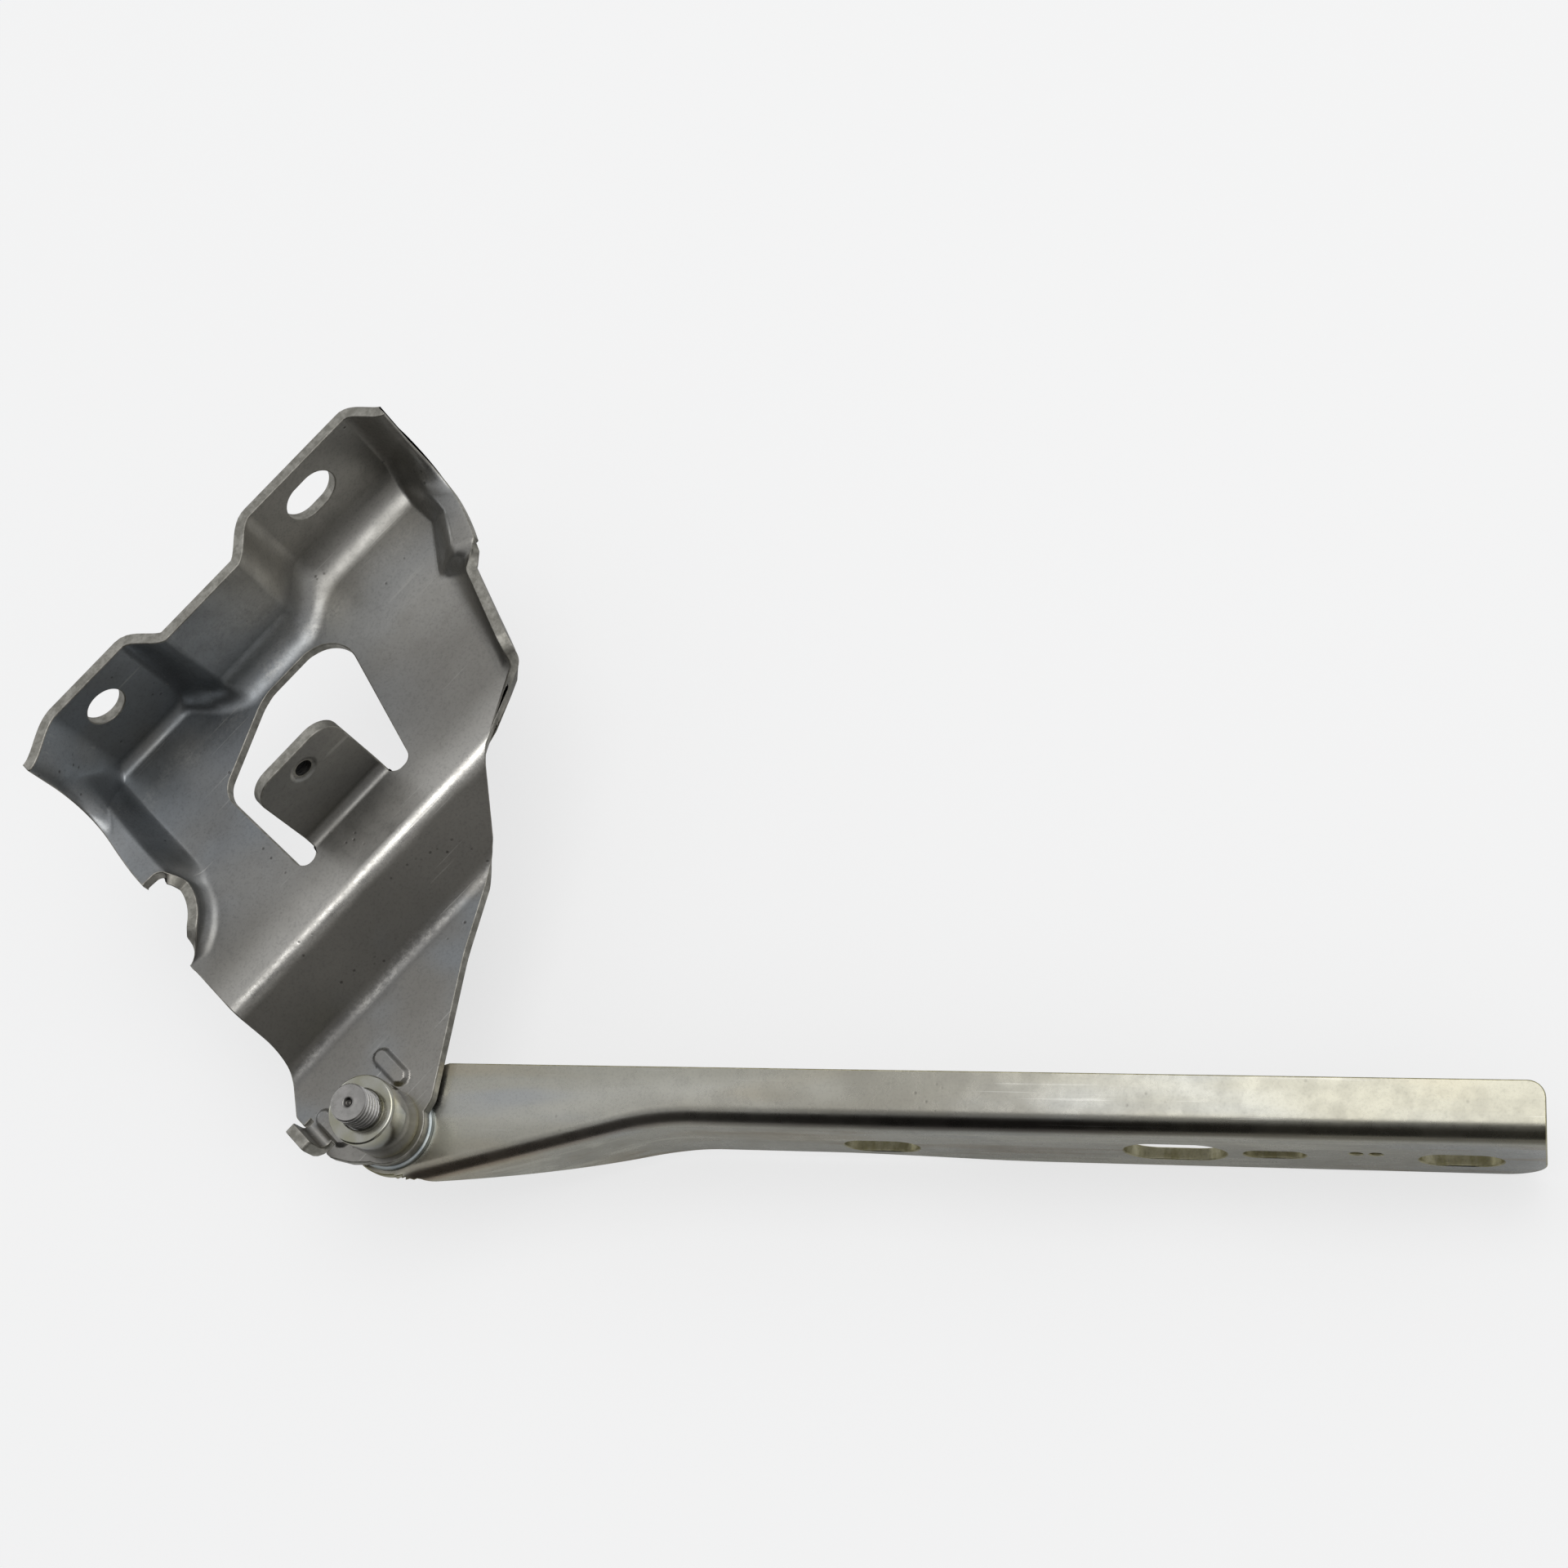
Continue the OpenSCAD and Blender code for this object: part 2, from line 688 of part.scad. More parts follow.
// Plan outline of the arm's web round the pivot, up to arm_root_to along it
arm_root_to = 24;
module arm_outline() {
    circle(arm_end_r);
    polygon(rounded(
        [
            [-6, arm_end_r - 1.6], [15, arm_top + 0.7], [15, far], [far, far], [far, -far],
            [9.5, -far], [9.5, -arm_end_r - 1.2], [2, 0.16 - arm_end_r], [0, -5], [-5, 0]
        ],
        [0, 0, 0, 0, 0, 0, 0, 0, 0, 0]
    ));
}

module hood_arm() {
    narrow_x = window_x + window_l / 2 + bridge + narrow_l / 2;
    color("#8f8d74")
        translate([0, 0, arm_web_top])
            difference() {
                pressed_sheet(arm_grid, arm_t);
                translate([0, 0, -far / 2])
                    linear_extrude(far)
                        difference() {
                            translate([-far, -far])
                                square([far + arm_root_to, 2 * far]);
                            arm_outline();
                        }
                cylinder(h = far, d = shank_d + 2 * (run_fit + bush_wall + seat_fit), center = true);
                translate([arm_l, arm_top, -arm_t - tiny])
                    linear_extrude(arm_t + 2 * tiny)
                        corner_cut(4);
                translate([arm_l, arm_face - tiny, -arm_flange_h])
                    rotate([-90, 0, 0])
                        linear_extrude(arm_t + 2 * tiny)
                            corner_cut(10);
                flange_cut(slot_x, slot_drop)
                    slot_outline(slot_l, slot_w);
                flange_cut(slot_x + slot_pitch, slot_drop)
                    slot_outline(slot_l, slot_w);
                flange_cut(window_x, slot_drop - 1.5)
                    slot_outline(window_l, window_w);
                flange_cut(narrow_x, slot_drop - 1.5)
                    slot_outline(narrow_l, narrow_w);
                for (k = [0, 1])
                    flange_cut(slot_x + slot_pitch - 23.5 + 4.5 * k, slot_drop - 4.5)
                        circle(d = gauge_d);
            }
}

// Cuts an outline through the hood flange at x, d below the web
module flange_cut(x, d) {
    translate([x, arm_face - tiny, -d])
        rotate([-90, 0, 0])
            linear_extrude(arm_t + 2 * tiny)
                children();
}

// Pivot bolt: head, shank through washer, arm and bracket, and the threaded stud
module pivot_bolt() {
    chamfer = 1;
    mark_r = 1.2;
    color("#77777a")
        difference() {
            rotate_extrude()
                polygon([
                    [0, head_top - head_h], [head_d / 2 - 1.5, head_top - head_h],
                    [head_d / 2, head_top - head_h + 1.5], [head_d / 2, head_top],
                    [shank_d / 2, head_top], [shank_d / 2, bracket_top],
                    [neck_r, bracket_top], [neck_r, 0], [stud_d / 2, 0],
                    [stud_d / 2, stud_out - chamfer],
                    [stud_d / 2 - chamfer, stud_out], [0, stud_out]
                ]);
            translate([0, 0, stud_out - mark_r])
                cylinder(h = mark_r + tiny, r1 = 0, r2 = mark_r + tiny);
        }
}

module spacer_sleeve() {
    edge = 0.6;
    inner = neck_r + seat_fit;
    color("#9a9a80")
        rotate_extrude()
            polygon([
                [inner, -spacer_h], [spacer_d / 2, -spacer_h], [spacer_d / 2, -edge],
                [spacer_d / 2 - edge, 0], [inner, 0]
            ]);
}

module pivot_bush() {
    inner = shank_d / 2 + run_fit;
    outer = inner + bush_wall;
    color("#6d7a80")
        rotate_extrude()
            polygon([
                [inner, arm_web_back], [outer, arm_web_back], [outer, arm_web_top],
                [bush_flange_d / 2, arm_web_top], [bush_flange_d / 2, bush_top], [inner, bush_top]
            ]);
}

module rear_washer() {
    inner = shank_d / 2 + seat_fit;
    color("#8a8a85")
        rotate_extrude()
            polygon([
                [inner, head_top], [washer_d / 2, head_top],
                [washer_d / 2, washer_top], [inner, washer_top]
            ]);
}

body_bracket();
hood_arm();
pivot_bolt();
spacer_sleeve();
pivot_bush();
rear_washer();
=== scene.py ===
import math

import bpy
import numpy as np
from mathutils import Matrix, Vector
from mathutils.geometry import delaunay_2d_cdt
from mathutils.kdtree import KDTree


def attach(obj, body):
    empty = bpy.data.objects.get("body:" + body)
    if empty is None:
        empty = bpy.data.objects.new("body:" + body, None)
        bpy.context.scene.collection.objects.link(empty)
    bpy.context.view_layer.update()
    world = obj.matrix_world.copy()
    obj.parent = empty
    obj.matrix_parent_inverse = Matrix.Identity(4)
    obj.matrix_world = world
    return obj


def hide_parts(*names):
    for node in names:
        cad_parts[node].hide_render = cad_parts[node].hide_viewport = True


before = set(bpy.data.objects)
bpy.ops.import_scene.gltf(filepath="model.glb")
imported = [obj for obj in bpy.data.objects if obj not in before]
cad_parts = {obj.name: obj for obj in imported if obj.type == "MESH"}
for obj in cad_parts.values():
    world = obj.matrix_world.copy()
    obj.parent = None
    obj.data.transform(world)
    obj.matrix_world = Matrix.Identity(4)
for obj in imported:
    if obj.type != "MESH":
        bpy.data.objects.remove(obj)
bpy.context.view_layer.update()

# Lengths are in millimetres until a mesh is made. The bracket's own directions are s along its
# flange, n away from the pivot and z toward the stud, with z 0 on the pivot web's face.


def ramp(x, a, b):
    """Smooth rise from 0 to 1 as x runs from a to b."""
    q = np.clip((x - a) / (b - a), 0.0, 1.0)
    return q * q * (3 - 2 * q)


def mix(a, b, q):
    """a at q 0, b at q 1."""
    return a + (b - a) * q


def rounded(corners, radii, step=5):
    """Closed outline whose corners carry arcs of the given radii."""
    out = []
    for i in range(len(corners)):
        here = np.array(corners[i], float)
        before = np.array(corners[i - 1], float) - here
        after = np.array(corners[(i + 1) % len(corners)], float) - here
        u, v = before / np.linalg.norm(before), after / np.linalg.norm(after)
        r = radii[i]
        if r == 0:
            out.append(here)
            continue
        half = math.acos(max(-1, min(1, float(u @ v)))) / 2
        hub = here + (u + v) / np.linalg.norm(u + v) * r / math.sin(half)
        a = here + u * r / math.tan(half) - hub
        b = here + v * r / math.tan(half) - hub
        turn = math.pi - 2 * half
        side = 1 if a[0] * b[1] - a[1] * b[0] > 0 else -1
        count = max(2, int(math.degrees(turn) / step))
        for k in range(count + 1):
            q = side * turn * k / count
            out.append(hub + [a[0] * math.cos(q) - a[1] * math.sin(q), a[0] * math.sin(q) + a[1] * math.cos(q)])
    return np.array(out)


def dense(points, step, closed=True):
    """The same line with points at most one step apart."""
    ends = np.roll(points, -1, axis=0) if closed else points[1:]
    parts = []
    for a, b in zip(points if closed else points[:-1], ends):
        count = max(1, int(math.ceil(np.linalg.norm(b - a) / step)))
        parts.append(a + (b - a) * (np.arange(count) / count)[:, None])
    if not closed:
        parts.append(points[-1:])
    return np.concatenate(parts)


def inside(poly, x, y):
    """True where the points lie in the closed outline, by the crossing rule."""
    hit = np.zeros(np.shape(x), bool)
    for (ax, ay), (bx, by) in zip(poly, np.roll(poly, -1, axis=0)):
        span = (ay > y) != (by > y)
        cut = ax + (y - ay) * (bx - ax) / ((by - ay) if by != ay else 1e-12)
        hit ^= span & (x < cut)
    return hit


def surface_normal(surface, u, v, sign):
    """Unit normal of surface(u, v), from the cross product of its two slopes."""
    e = 0.04
    du = surface(u + e, v) - surface(u - e, v)
    dv = surface(u, v + e) - surface(u, v - e)
    n = sign * np.cross(du, dv, axis=0)
    return n / np.maximum(np.linalg.norm(n, axis=0), 1e-12)


def chart(surface, sign, lines, grid, keep, clear=0.85):
    """Triangles of the part of surface(u, v) that keep(u, v) holds, with edges along the lines.

    Lines is a list of (points, closed) in u, v; grid is an array of inner points, and those
    nearer than clear to a line point are left out.
    """
    tree = KDTree(sum(len(p) for p, _ in lines))
    count = 0
    edges = []
    for points, closed in lines:
        for k, (u, v) in enumerate(points):
            tree.insert((u, v, 0.0), count + k)
        edges += [(count + k, count + k + 1) for k in range(len(points) - 1)]
        if closed:
            edges.append((count + len(points) - 1, count))
        count += len(points)
    tree.balance()
    inner = [p for p in grid if tree.find((p[0], p[1], 0.0))[2] > clear]
    flat = [Vector(p) for points, _ in lines for p in points] + [Vector(p) for p in inner]
    verts, _, faces, _, _, _ = delaunay_2d_cdt(flat, edges, [], 0, 1e-5)
    uv = np.array([(p.x, p.y) for p in verts])
    tris = np.array([f for f in faces if len(f) == 3])
    mid = uv[tris].mean(axis=1)
    a, b, c = (uv[tris[:, k]] for k in range(3))
    area = (b[:, 0] - a[:, 0]) * (c[:, 1] - a[:, 1]) - (b[:, 1] - a[:, 1]) * (c[:, 0] - a[:, 0])
    tris = tris[keep(mid[:, 0], mid[:, 1]) & (np.abs(area) > 1e-9)]
    area = area[keep(mid[:, 0], mid[:, 1]) & (np.abs(area) > 1e-9)]
    turn = (area < 0) != (sign < 0)
    tris[turn] = tris[turn][:, ::-1]
    used, tris = np.unique(tris, return_inverse=True)
    tris = tris.reshape(-1, 3)
    uv = uv[used]
    return surface(uv[:, 0], uv[:, 1]).T, surface_normal(surface, uv[:, 0], uv[:, 1], sign).T, tris


def weld(charts, reach=0.02):
    """One set of points and triangles: points of a later chart on an earlier one are shared."""
    points, normals, tris = charts[0]
    for p, n, t in charts[1:]:
        tree = KDTree(len(points))
        for k, co in enumerate(points):
            tree.insert(co, k)
        tree.balance()
        found = [tree.find(co) for co in p]
        same = np.array([f[2] < reach for f in found])
        index = np.where(same, [f[1] for f in found], len(points) + np.cumsum(~same) - 1)
        points = np.concatenate([points, p[~same]])
        normals = np.concatenate([normals, n[~same]])
        tris = np.concatenate([tris, index[t]])
    return points, normals, tris


def sheet_mesh(name, points, normals, tris, thickness, worn=0.35, burr=0.2, steps=3):
    """A sheet of even thickness behind the given face, with a rounded edge all round.

    Each boundary point moves inward by worn, then an arc of radius worn, the cut wall and an arc
    of radius burr lead to the back. Material 0 is the faces, 1 the cut wall and its arcs.
    """
    count = len(points)
    edges = np.concatenate([tris[:, [0, 1]], tris[:, [1, 2]], tris[:, [2, 0]]])
    key = edges[:, 0] * count + edges[:, 1]
    back_key = edges[:, 1] * count + edges[:, 0]
    rim = edges[~np.isin(key, back_key)]
    out = np.zeros((count, 3))
    along = points[rim[:, 1]] - points[rim[:, 0]]
    along /= np.maximum(np.linalg.norm(along, axis=1), 1e-9)[:, None]
    for k in (0, 1):
        np.add.at(out, rim[:, k], np.cross(along, normals[rim[:, k]]))
    ring = np.unique(rim)
    size = np.linalg.norm(out[ring], axis=1)
    sides = out[ring] / np.maximum(size, 1e-9)[:, None]
    miter = np.minimum(2 / np.maximum(size, 0.5), 1.35)[:, None]
    n0 = normals[ring]
    p0 = points[ring]
    face = points.copy()
    face[ring] = p0 - worn * miter * sides
    back = points - thickness * normals
    back[ring] = p0 - thickness * n0 - burr * miter * sides
    rings, ring_normals = [], []
    for a in np.linspace(0, math.pi / 2, steps + 1)[1:]:
        rings.append(p0 + worn * miter * sides * (math.sin(a) - 1) - worn * (1 - math.cos(a)) * n0)
        ring_normals.append(math.cos(a) * n0 + math.sin(a) * sides)
    for a in np.linspace(math.pi / 2, 0, steps + 1)[:-1]:
        rings.append(p0 + burr * miter * sides * (math.sin(a) - 1)
                     - (thickness - burr * (1 - math.cos(a))) * n0)
        ring_normals.append(math.sin(a) * sides - math.cos(a) * n0)
    place = np.full(count, -1)
    place[ring] = np.arange(len(ring))
    levels = [ring] + [2 * count + k * len(ring) + np.arange(len(ring)) for k in range(len(rings))] + [count + ring]
    a, b = place[rim[:, 0]], place[rim[:, 1]]
    strips = [np.stack([upper[b], upper[a], lower[a], lower[b]], axis=1)
              for upper, lower in zip(levels[:-1], levels[1:])]
    verts = np.concatenate([face, back] + rings)
    all_normals = np.concatenate([normals, -normals] + ring_normals)
    faces = tris.tolist() + (tris[:, ::-1] + count).tolist() + np.concatenate(strips).tolist()
    marks = np.zeros(len(faces), np.int32)
    marks[2 * len(tris):] = 1
    return build(name, verts, faces, all_normals, marks)


def build(name, verts, faces, normals=None, marks=None):
    """A Blender object from millimetre points, with smooth shading by the given normals."""
    mesh = bpy.data.meshes.new(name)
    mesh.from_pydata((np.asarray(verts) / 1000).tolist(), [], faces)
    mesh.polygons.foreach_set("use_smooth", np.ones(len(faces), bool))
    if marks is not None:
        mesh.polygons.foreach_set("material_index", marks)
    if normals is not None:
        unit = normals / np.maximum(np.linalg.norm(normals, axis=1), 1e-9)[:, None]
        mesh.normals_split_custom_set_from_vertices(unit.tolist())
    mesh.update()
    obj = bpy.data.objects.new(name, mesh)
    bpy.context.scene.collection.objects.link(obj)
    return obj


def lathe(name, profile, steps=128, sharp=32):
    """Surface of revolution about the pivot axis: point k turns as (r cos a, r sin a, z)."""
    profile = np.array(profile, float)
    turn = np.arange(steps) * 2 * math.pi / steps
    r, z = profile[:, 0][:, None], profile[:, 1][:, None]
    verts = np.stack([r * np.cos(turn), r * np.sin(turn), z + 0 * turn], axis=2).reshape(-1, 3)
    k, j = np.meshgrid(np.arange(len(profile) - 1), np.arange(steps), indexing="ij")
    k, j, after = k.ravel(), j.ravel(), (j.ravel() + 1) % steps
    faces = np.stack([k * steps + j, k * steps + after, (k + 1) * steps + after, (k + 1) * steps + j], axis=1)
    faces = faces.tolist()
    if np.allclose(profile[0], profile[-1]):
        last = (len(profile) - 1) * steps
        faces = [[v - last if v >= last else v for v in f] for f in faces]
        verts = verts[:last]
    else:
        faces.append(list(range(steps))[::-1])
        faces.append([(len(profile) - 1) * steps + i for i in range(steps)])
    obj = build(name, verts, faces)
    obj.data.set_sharp_from_angle(angle=math.radians(sharp))
    return obj


# ---------------------------------------------------------------------------
# Metal finishes
# Every finish is worked out from object coordinates: broad soft tints, fine mottling, bright bands
# that are partly worn by tools and stock and partly painted highlight, painted shade in bends and
# hollows, scratches along the rolling direction and pits.


class Finish:
    """A metal under construction: a node tree with short calls for its usual steps."""

    def __init__(self, name, turn=0.0):
        self.material = bpy.data.materials.new(name)
        self.material.use_nodes = True
        self.nodes, self.links = self.material.node_tree.nodes, self.material.node_tree.links
        self.shader = self.nodes["Principled BSDF"]
        self.shader.inputs["Metallic"].default_value = 1.0
        coords = self.nodes.new("ShaderNodeTexCoord")
        moved = self.nodes.new("ShaderNodeMapping")
        moved.inputs["Rotation"].default_value = (0.0, 0.0, -turn)
        self.links.new(coords.outputs["Object"], moved.inputs["Vector"])
        self.place = moved.outputs[0]
        split = self.nodes.new("ShaderNodeSeparateXYZ")
        self.links.new(self.place, split.inputs[0])
        self.x, self.y, self.z = split.outputs

    def set(self, socket, value):
        """Give a socket a value, or a link if the value is an output."""
        if isinstance(value, bpy.types.NodeSocket):
            self.links.new(value, socket)
        else:
            socket.default_value = (*value, 1.0) if isinstance(value, tuple) else value

    def sum(self, op, a, b):
        made = self.nodes.new("ShaderNodeMath")
        made.operation = op
        self.set(made.inputs[0], a)
        self.set(made.inputs[1], b)
        return made.outputs[0]

    def noise(self, scale, detail=3.0, rough=0.55, stretch=None):
        made = self.nodes.new("ShaderNodeTexNoise")
        made.inputs["Scale"].default_value = scale
        made.inputs["Detail"].default_value = detail
        made.inputs["Roughness"].default_value = rough
        source = self.place
        if stretch:
            moved = self.nodes.new("ShaderNodeMapping")
            moved.inputs["Scale"].default_value = stretch
            self.links.new(self.place, moved.inputs["Vector"])
            source = moved.outputs[0]
        self.links.new(source, made.inputs["Vector"])
        return made.outputs["Fac"]

    def spread(self, value, low, high, to_low=0.0, to_high=1.0):
        """Smooth step of value from low to high, scaled to to_low and to_high."""
        made = self.nodes.new("ShaderNodeMapRange")
        made.interpolation_type = "SMOOTHSTEP"
        for name, number in (("From Min", low), ("From Max", high), ("To Min", to_low), ("To Max", to_high)):
            made.inputs[name].default_value = number
        self.set(made.inputs["Value"], value)
        return made.outputs[0]

    def blend(self, factor, a, b):
        made = self.nodes.new("ShaderNodeMix")
        made.data_type = "RGBA"
        self.set(made.inputs[0], factor)
        self.set(made.inputs[6], a)
        self.set(made.inputs[7], b)
        return made.outputs[2]

    def band(self, axis, centre, half, wobble=0.0):
        """1 on a line across the given axis, falling to 0 at half to each side."""
        if wobble:
            axis = self.sum("ADD", axis, self.spread(self.noise(60.0, 2.0), 0.3, 0.7, -wobble, wobble))
        away = self.sum("ABSOLUTE", self.sum("SUBTRACT", axis, centre), 0.0)
        return self.spread(away, 0.0, half, 1.0, 0.0)

    def finish(self, colour, roughness, grain=0.5, scratch=0.5, pits=0.5, depth=0.0002, strength=0.3):
        """Lay mottling, scratches and pits over the colour and connect the shader."""
        mottle = self.noise(150.0, 4.0, 0.6)
        speck = self.noise(1500.0, 2.0, 0.6)
        lines = self.noise(240.0, 2.0, 0.5, stretch=(0.1, 6.0, 1.0))
        marks = self.sum("MULTIPLY", self.spread(lines, 0.66, 0.71), self.spread(self.noise(35.0, 1.0), 0.45, 0.6))
        cells = self.nodes.new("ShaderNodeTexVoronoi")
        cells.inputs["Scale"].default_value = 330.0
        self.links.new(self.place, cells.inputs["Vector"])
        holes = self.sum("MULTIPLY", self.spread(cells.outputs["Distance"], 0.05, 0.2, 1.0, 0.0),
                         self.spread(self.noise(75.0, 1.0), 0.6, 0.66))
        colour = self.blend(self.spread(mottle, 0.35, 0.7, 0.0, 0.16 * grain), colour, (0.13, 0.12, 0.11))
        colour = self.blend(self.spread(speck, 0.45, 0.75, 0.0, 0.22 * grain), colour, (0.1, 0.1, 0.1))
        colour = self.blend(self.sum("MULTIPLY", holes, 0.55 * pits), colour, (0.06, 0.055, 0.05))
        colour = self.blend(self.sum("MULTIPLY", marks, 0.3 * scratch), colour, (0.75, 0.74, 0.7))
        self.set(self.shader.inputs["Base Color"], colour)
        rough = self.sum("ADD", self.spread(mottle, 0.3, 0.7, -0.03, 0.07), roughness)
        self.set(self.shader.inputs["Roughness"], rough)
        height = self.sum("ADD", self.sum("MULTIPLY", mottle, 0.5 * grain), self.sum("MULTIPLY", speck, 0.15 * grain))
        height = self.sum("SUBTRACT", height, self.sum("MULTIPLY", marks, 0.12 * scratch))
        height = self.sum("SUBTRACT", height, self.sum("MULTIPLY", holes, 0.7 * pits))
        bump = self.nodes.new("ShaderNodeBump")
        bump.inputs["Strength"].default_value = strength
        bump.inputs["Distance"].default_value = depth
        self.links.new(height, bump.inputs["Height"])
        self.links.new(bump.outputs[0], self.shader.inputs["Normal"])
        return self.material


# ---------------------------------------------------------------------------
# Body bracket
# One 3 mm pressing. Its face runs over the round end, the step, the upper web and up the wavy
# flange, with a return swept up along each side. t counts along the sheet away from the pivot
# and c across it, both in millimetres.

foot_r, crest_r, slope = 6.0, 7.0, math.radians(51)
web_z, flange_z = 18.0, 53.0
foot_n = 30 - foot_r * math.tan(slope / 2)
foot_end = foot_n + foot_r * math.sin(slope)
crest_n = 30 + web_z / math.tan(slope) + crest_r * math.tan(slope / 2)
crest_start = crest_n - crest_r * math.sin(slope)
t_slope = foot_n + foot_r * slope
t_crest = t_slope + (crest_start - foot_end) / math.cos(slope)
t_web = t_crest + crest_r * slope
even_n = 84.0
t_root = t_web + even_n - crest_n
t_bend = t_root + 26
t_wall = t_bend + 14
t_end = t_wall + 28
return_w = 14.0
rim_r, rim_z, rim_n = 5.2, 7.0, 57.0
notch_s, notch_n, notch_r, notch_end = -8.0, 81.0, 13.3, 86.3
collar_fillet, collar_h = 3.5, 5.2
rim_arc = rim_r * math.pi / 2
rim_length = rim_arc + rim_z - rim_r


def spine(t):
    """The webs' section: distance n from the pivot and height z, at t along the sheet."""
    a = np.clip((t - foot_n) / foot_r, 0, slope)
    b = np.clip((t_web - t) / crest_r, 0, slope)
    n = np.where(t < foot_n, t, foot_n + foot_r * np.sin(a))
    z = foot_r * (1 - np.cos(a))
    on = t > t_slope
    n = np.where(on, foot_end + (t - t_slope) * math.cos(slope), n)
    z = np.where(on, foot_r * (1 - math.cos(slope)) + (t - t_slope) * math.sin(slope), z)
    on = t > t_crest
    n = np.where(on, crest_n - crest_r * np.sin(b), n)
    z = np.where(on, web_z - crest_r * (1 - np.cos(b)), z)
    return np.where(t > t_web, crest_n + t - t_web, n), z


def spine_t(n):
    """t at distance n from the pivot, the inverse of spine."""
    t = np.where(n < foot_n, n, foot_n + foot_r * np.arcsin(np.clip((n - foot_n) / foot_r, 0, 1)))
    t = np.where(n > foot_end, t_slope + (n - foot_end) / math.cos(slope), t)
    t = np.where(n > crest_start, t_web - crest_r * np.arcsin(np.clip((crest_n - n) / crest_r, 0, 1)), t)
    return np.where(n > crest_n, t_web + n - crest_n, t)


def set_in(s, soft):
    """How far the flange is set in from its pads at s."""
    return 8.8 * (ramp(s, 41 - soft, 51 + soft) - ramp(s, 77 - soft, 89 + soft))


def bend_r(s):
    """Inner bend radius at the flange's foot: tight below the lower pad."""
    return mix(3.5, 9.0, ramp(s, 37, 46))


def sheet_section(t, s):
    """n and z of the sheet at t, for a point at s and away from the side returns."""
    n, z = spine(t)
    q_root = np.clip((t - t_root) / 26, 0, 1)
    q_bend = np.clip((t - t_bend) / 14, 0, 1)
    q_wall = np.clip((t - t_wall) / 28, 0, 1)
    r = bend_r(s)
    soft = np.where(t < t_bend, 4.0, np.where(t < t_wall, mix(4.0, 1.0, q_bend), mix(1.0, 0.0, q_wall)))
    at = 125 - set_in(s, soft) - r
    a = q_bend * math.pi / 2
    n = np.where(t > t_root, mix(even_n, at, q_root), n)
    n = np.where(t > t_bend, at + r * np.sin(a), n)
    z = np.where(t > t_bend, web_z + r * (1 - np.cos(a)), z)
    z = np.where(t > t_wall, mix(web_z + r, flange_z, q_wall), z)
    return n, z


def return_edge(t, inset):
    """n and z of a side return's trimmed edge at t, for a flange end set in by inset."""
    n, z = spine(t)
    hub_n, hub_z = 125 - inset - 14, web_z + 9.5 + 14
    level = np.where(t > t_root, mix(even_n, 116, np.clip((t - t_root) / 26, 0, 1)), n)
    up = level > 62
    n = np.where(up, mix(62, hub_n, (level - 62) / 54), n)
    z = np.where(up, web_z + 9.5, z)
    a = np.clip((t - t_bend) / 14, 0, 1) * math.pi / 2
    n = np.where(t > t_bend, hub_n + 14 * np.sin(a), n)
    z = np.where(t > t_bend, hub_z - 14 * np.cos(a), z)
    return n, np.where(t > t_wall, mix(hub_z, flange_z, np.clip((t - t_wall) / 28, 0, 1)), z)


def low_start(t):
    """s where the lower return begins."""
    n, _ = spine(t)
    s = mix(-12, 14, ramp(n, 48, 60))
    return np.where(t > t_bend, mix(14, 17, np.clip((t - t_bend) / 14, 0, 1)), s)


def high_edge(t):
    """n of the upper return's trimmed edge."""
    return return_edge(t, 8.6)[0]


def rim_foot(n):
    """s at the foot of the short upright rim, for its edge at n."""
    return 102.7 + 0.363 * np.maximum(n - rim_n, 0)


def high_start(t):
    """s where the upper return begins."""
    n = np.where(t > t_root, mix(even_n, 116, np.clip((t - t_root) / 26, 0, 1)), spine(t)[0])
    s = np.minimum(np.maximum(rim_foot(high_edge(t)) - 3.5, 121 - 0.72 * (107.6 - n)), 121)
    return np.where(t > t_bend, mix(121, 124, np.clip((t - t_bend) / 14, 0, 1)), s)


def low_end(n):
    """s of the lower return's edge."""
    return mix(-24, mix(-11, mix(-0.5, 2, ramp(n, 88, 118)), ramp(n, 66, 84)), ramp(n, 48, 66))


def flare(q):
    """Height of a return's section from its root at q 0 to its edge at q 1."""
    return 0.8 * ramp(q, 0.04, 0.6) + 0.2 * ramp(q, 0, 1)


def rise_of(t):
    """0 on the webs, 1 on the flange: how far the sheet has turned up."""
    return np.clip((t - t_bend) / 14, 0, 1)


def rib(s, n, side):
    """Height of one embossed rib: a stadium with sloped sides."""
    away = np.hypot(s - 10.6 * side, np.maximum(np.abs(n - 10.3) - 3.7, 0))
    return 1.2 * (1 - ramp(away, 1.5, 2.9))


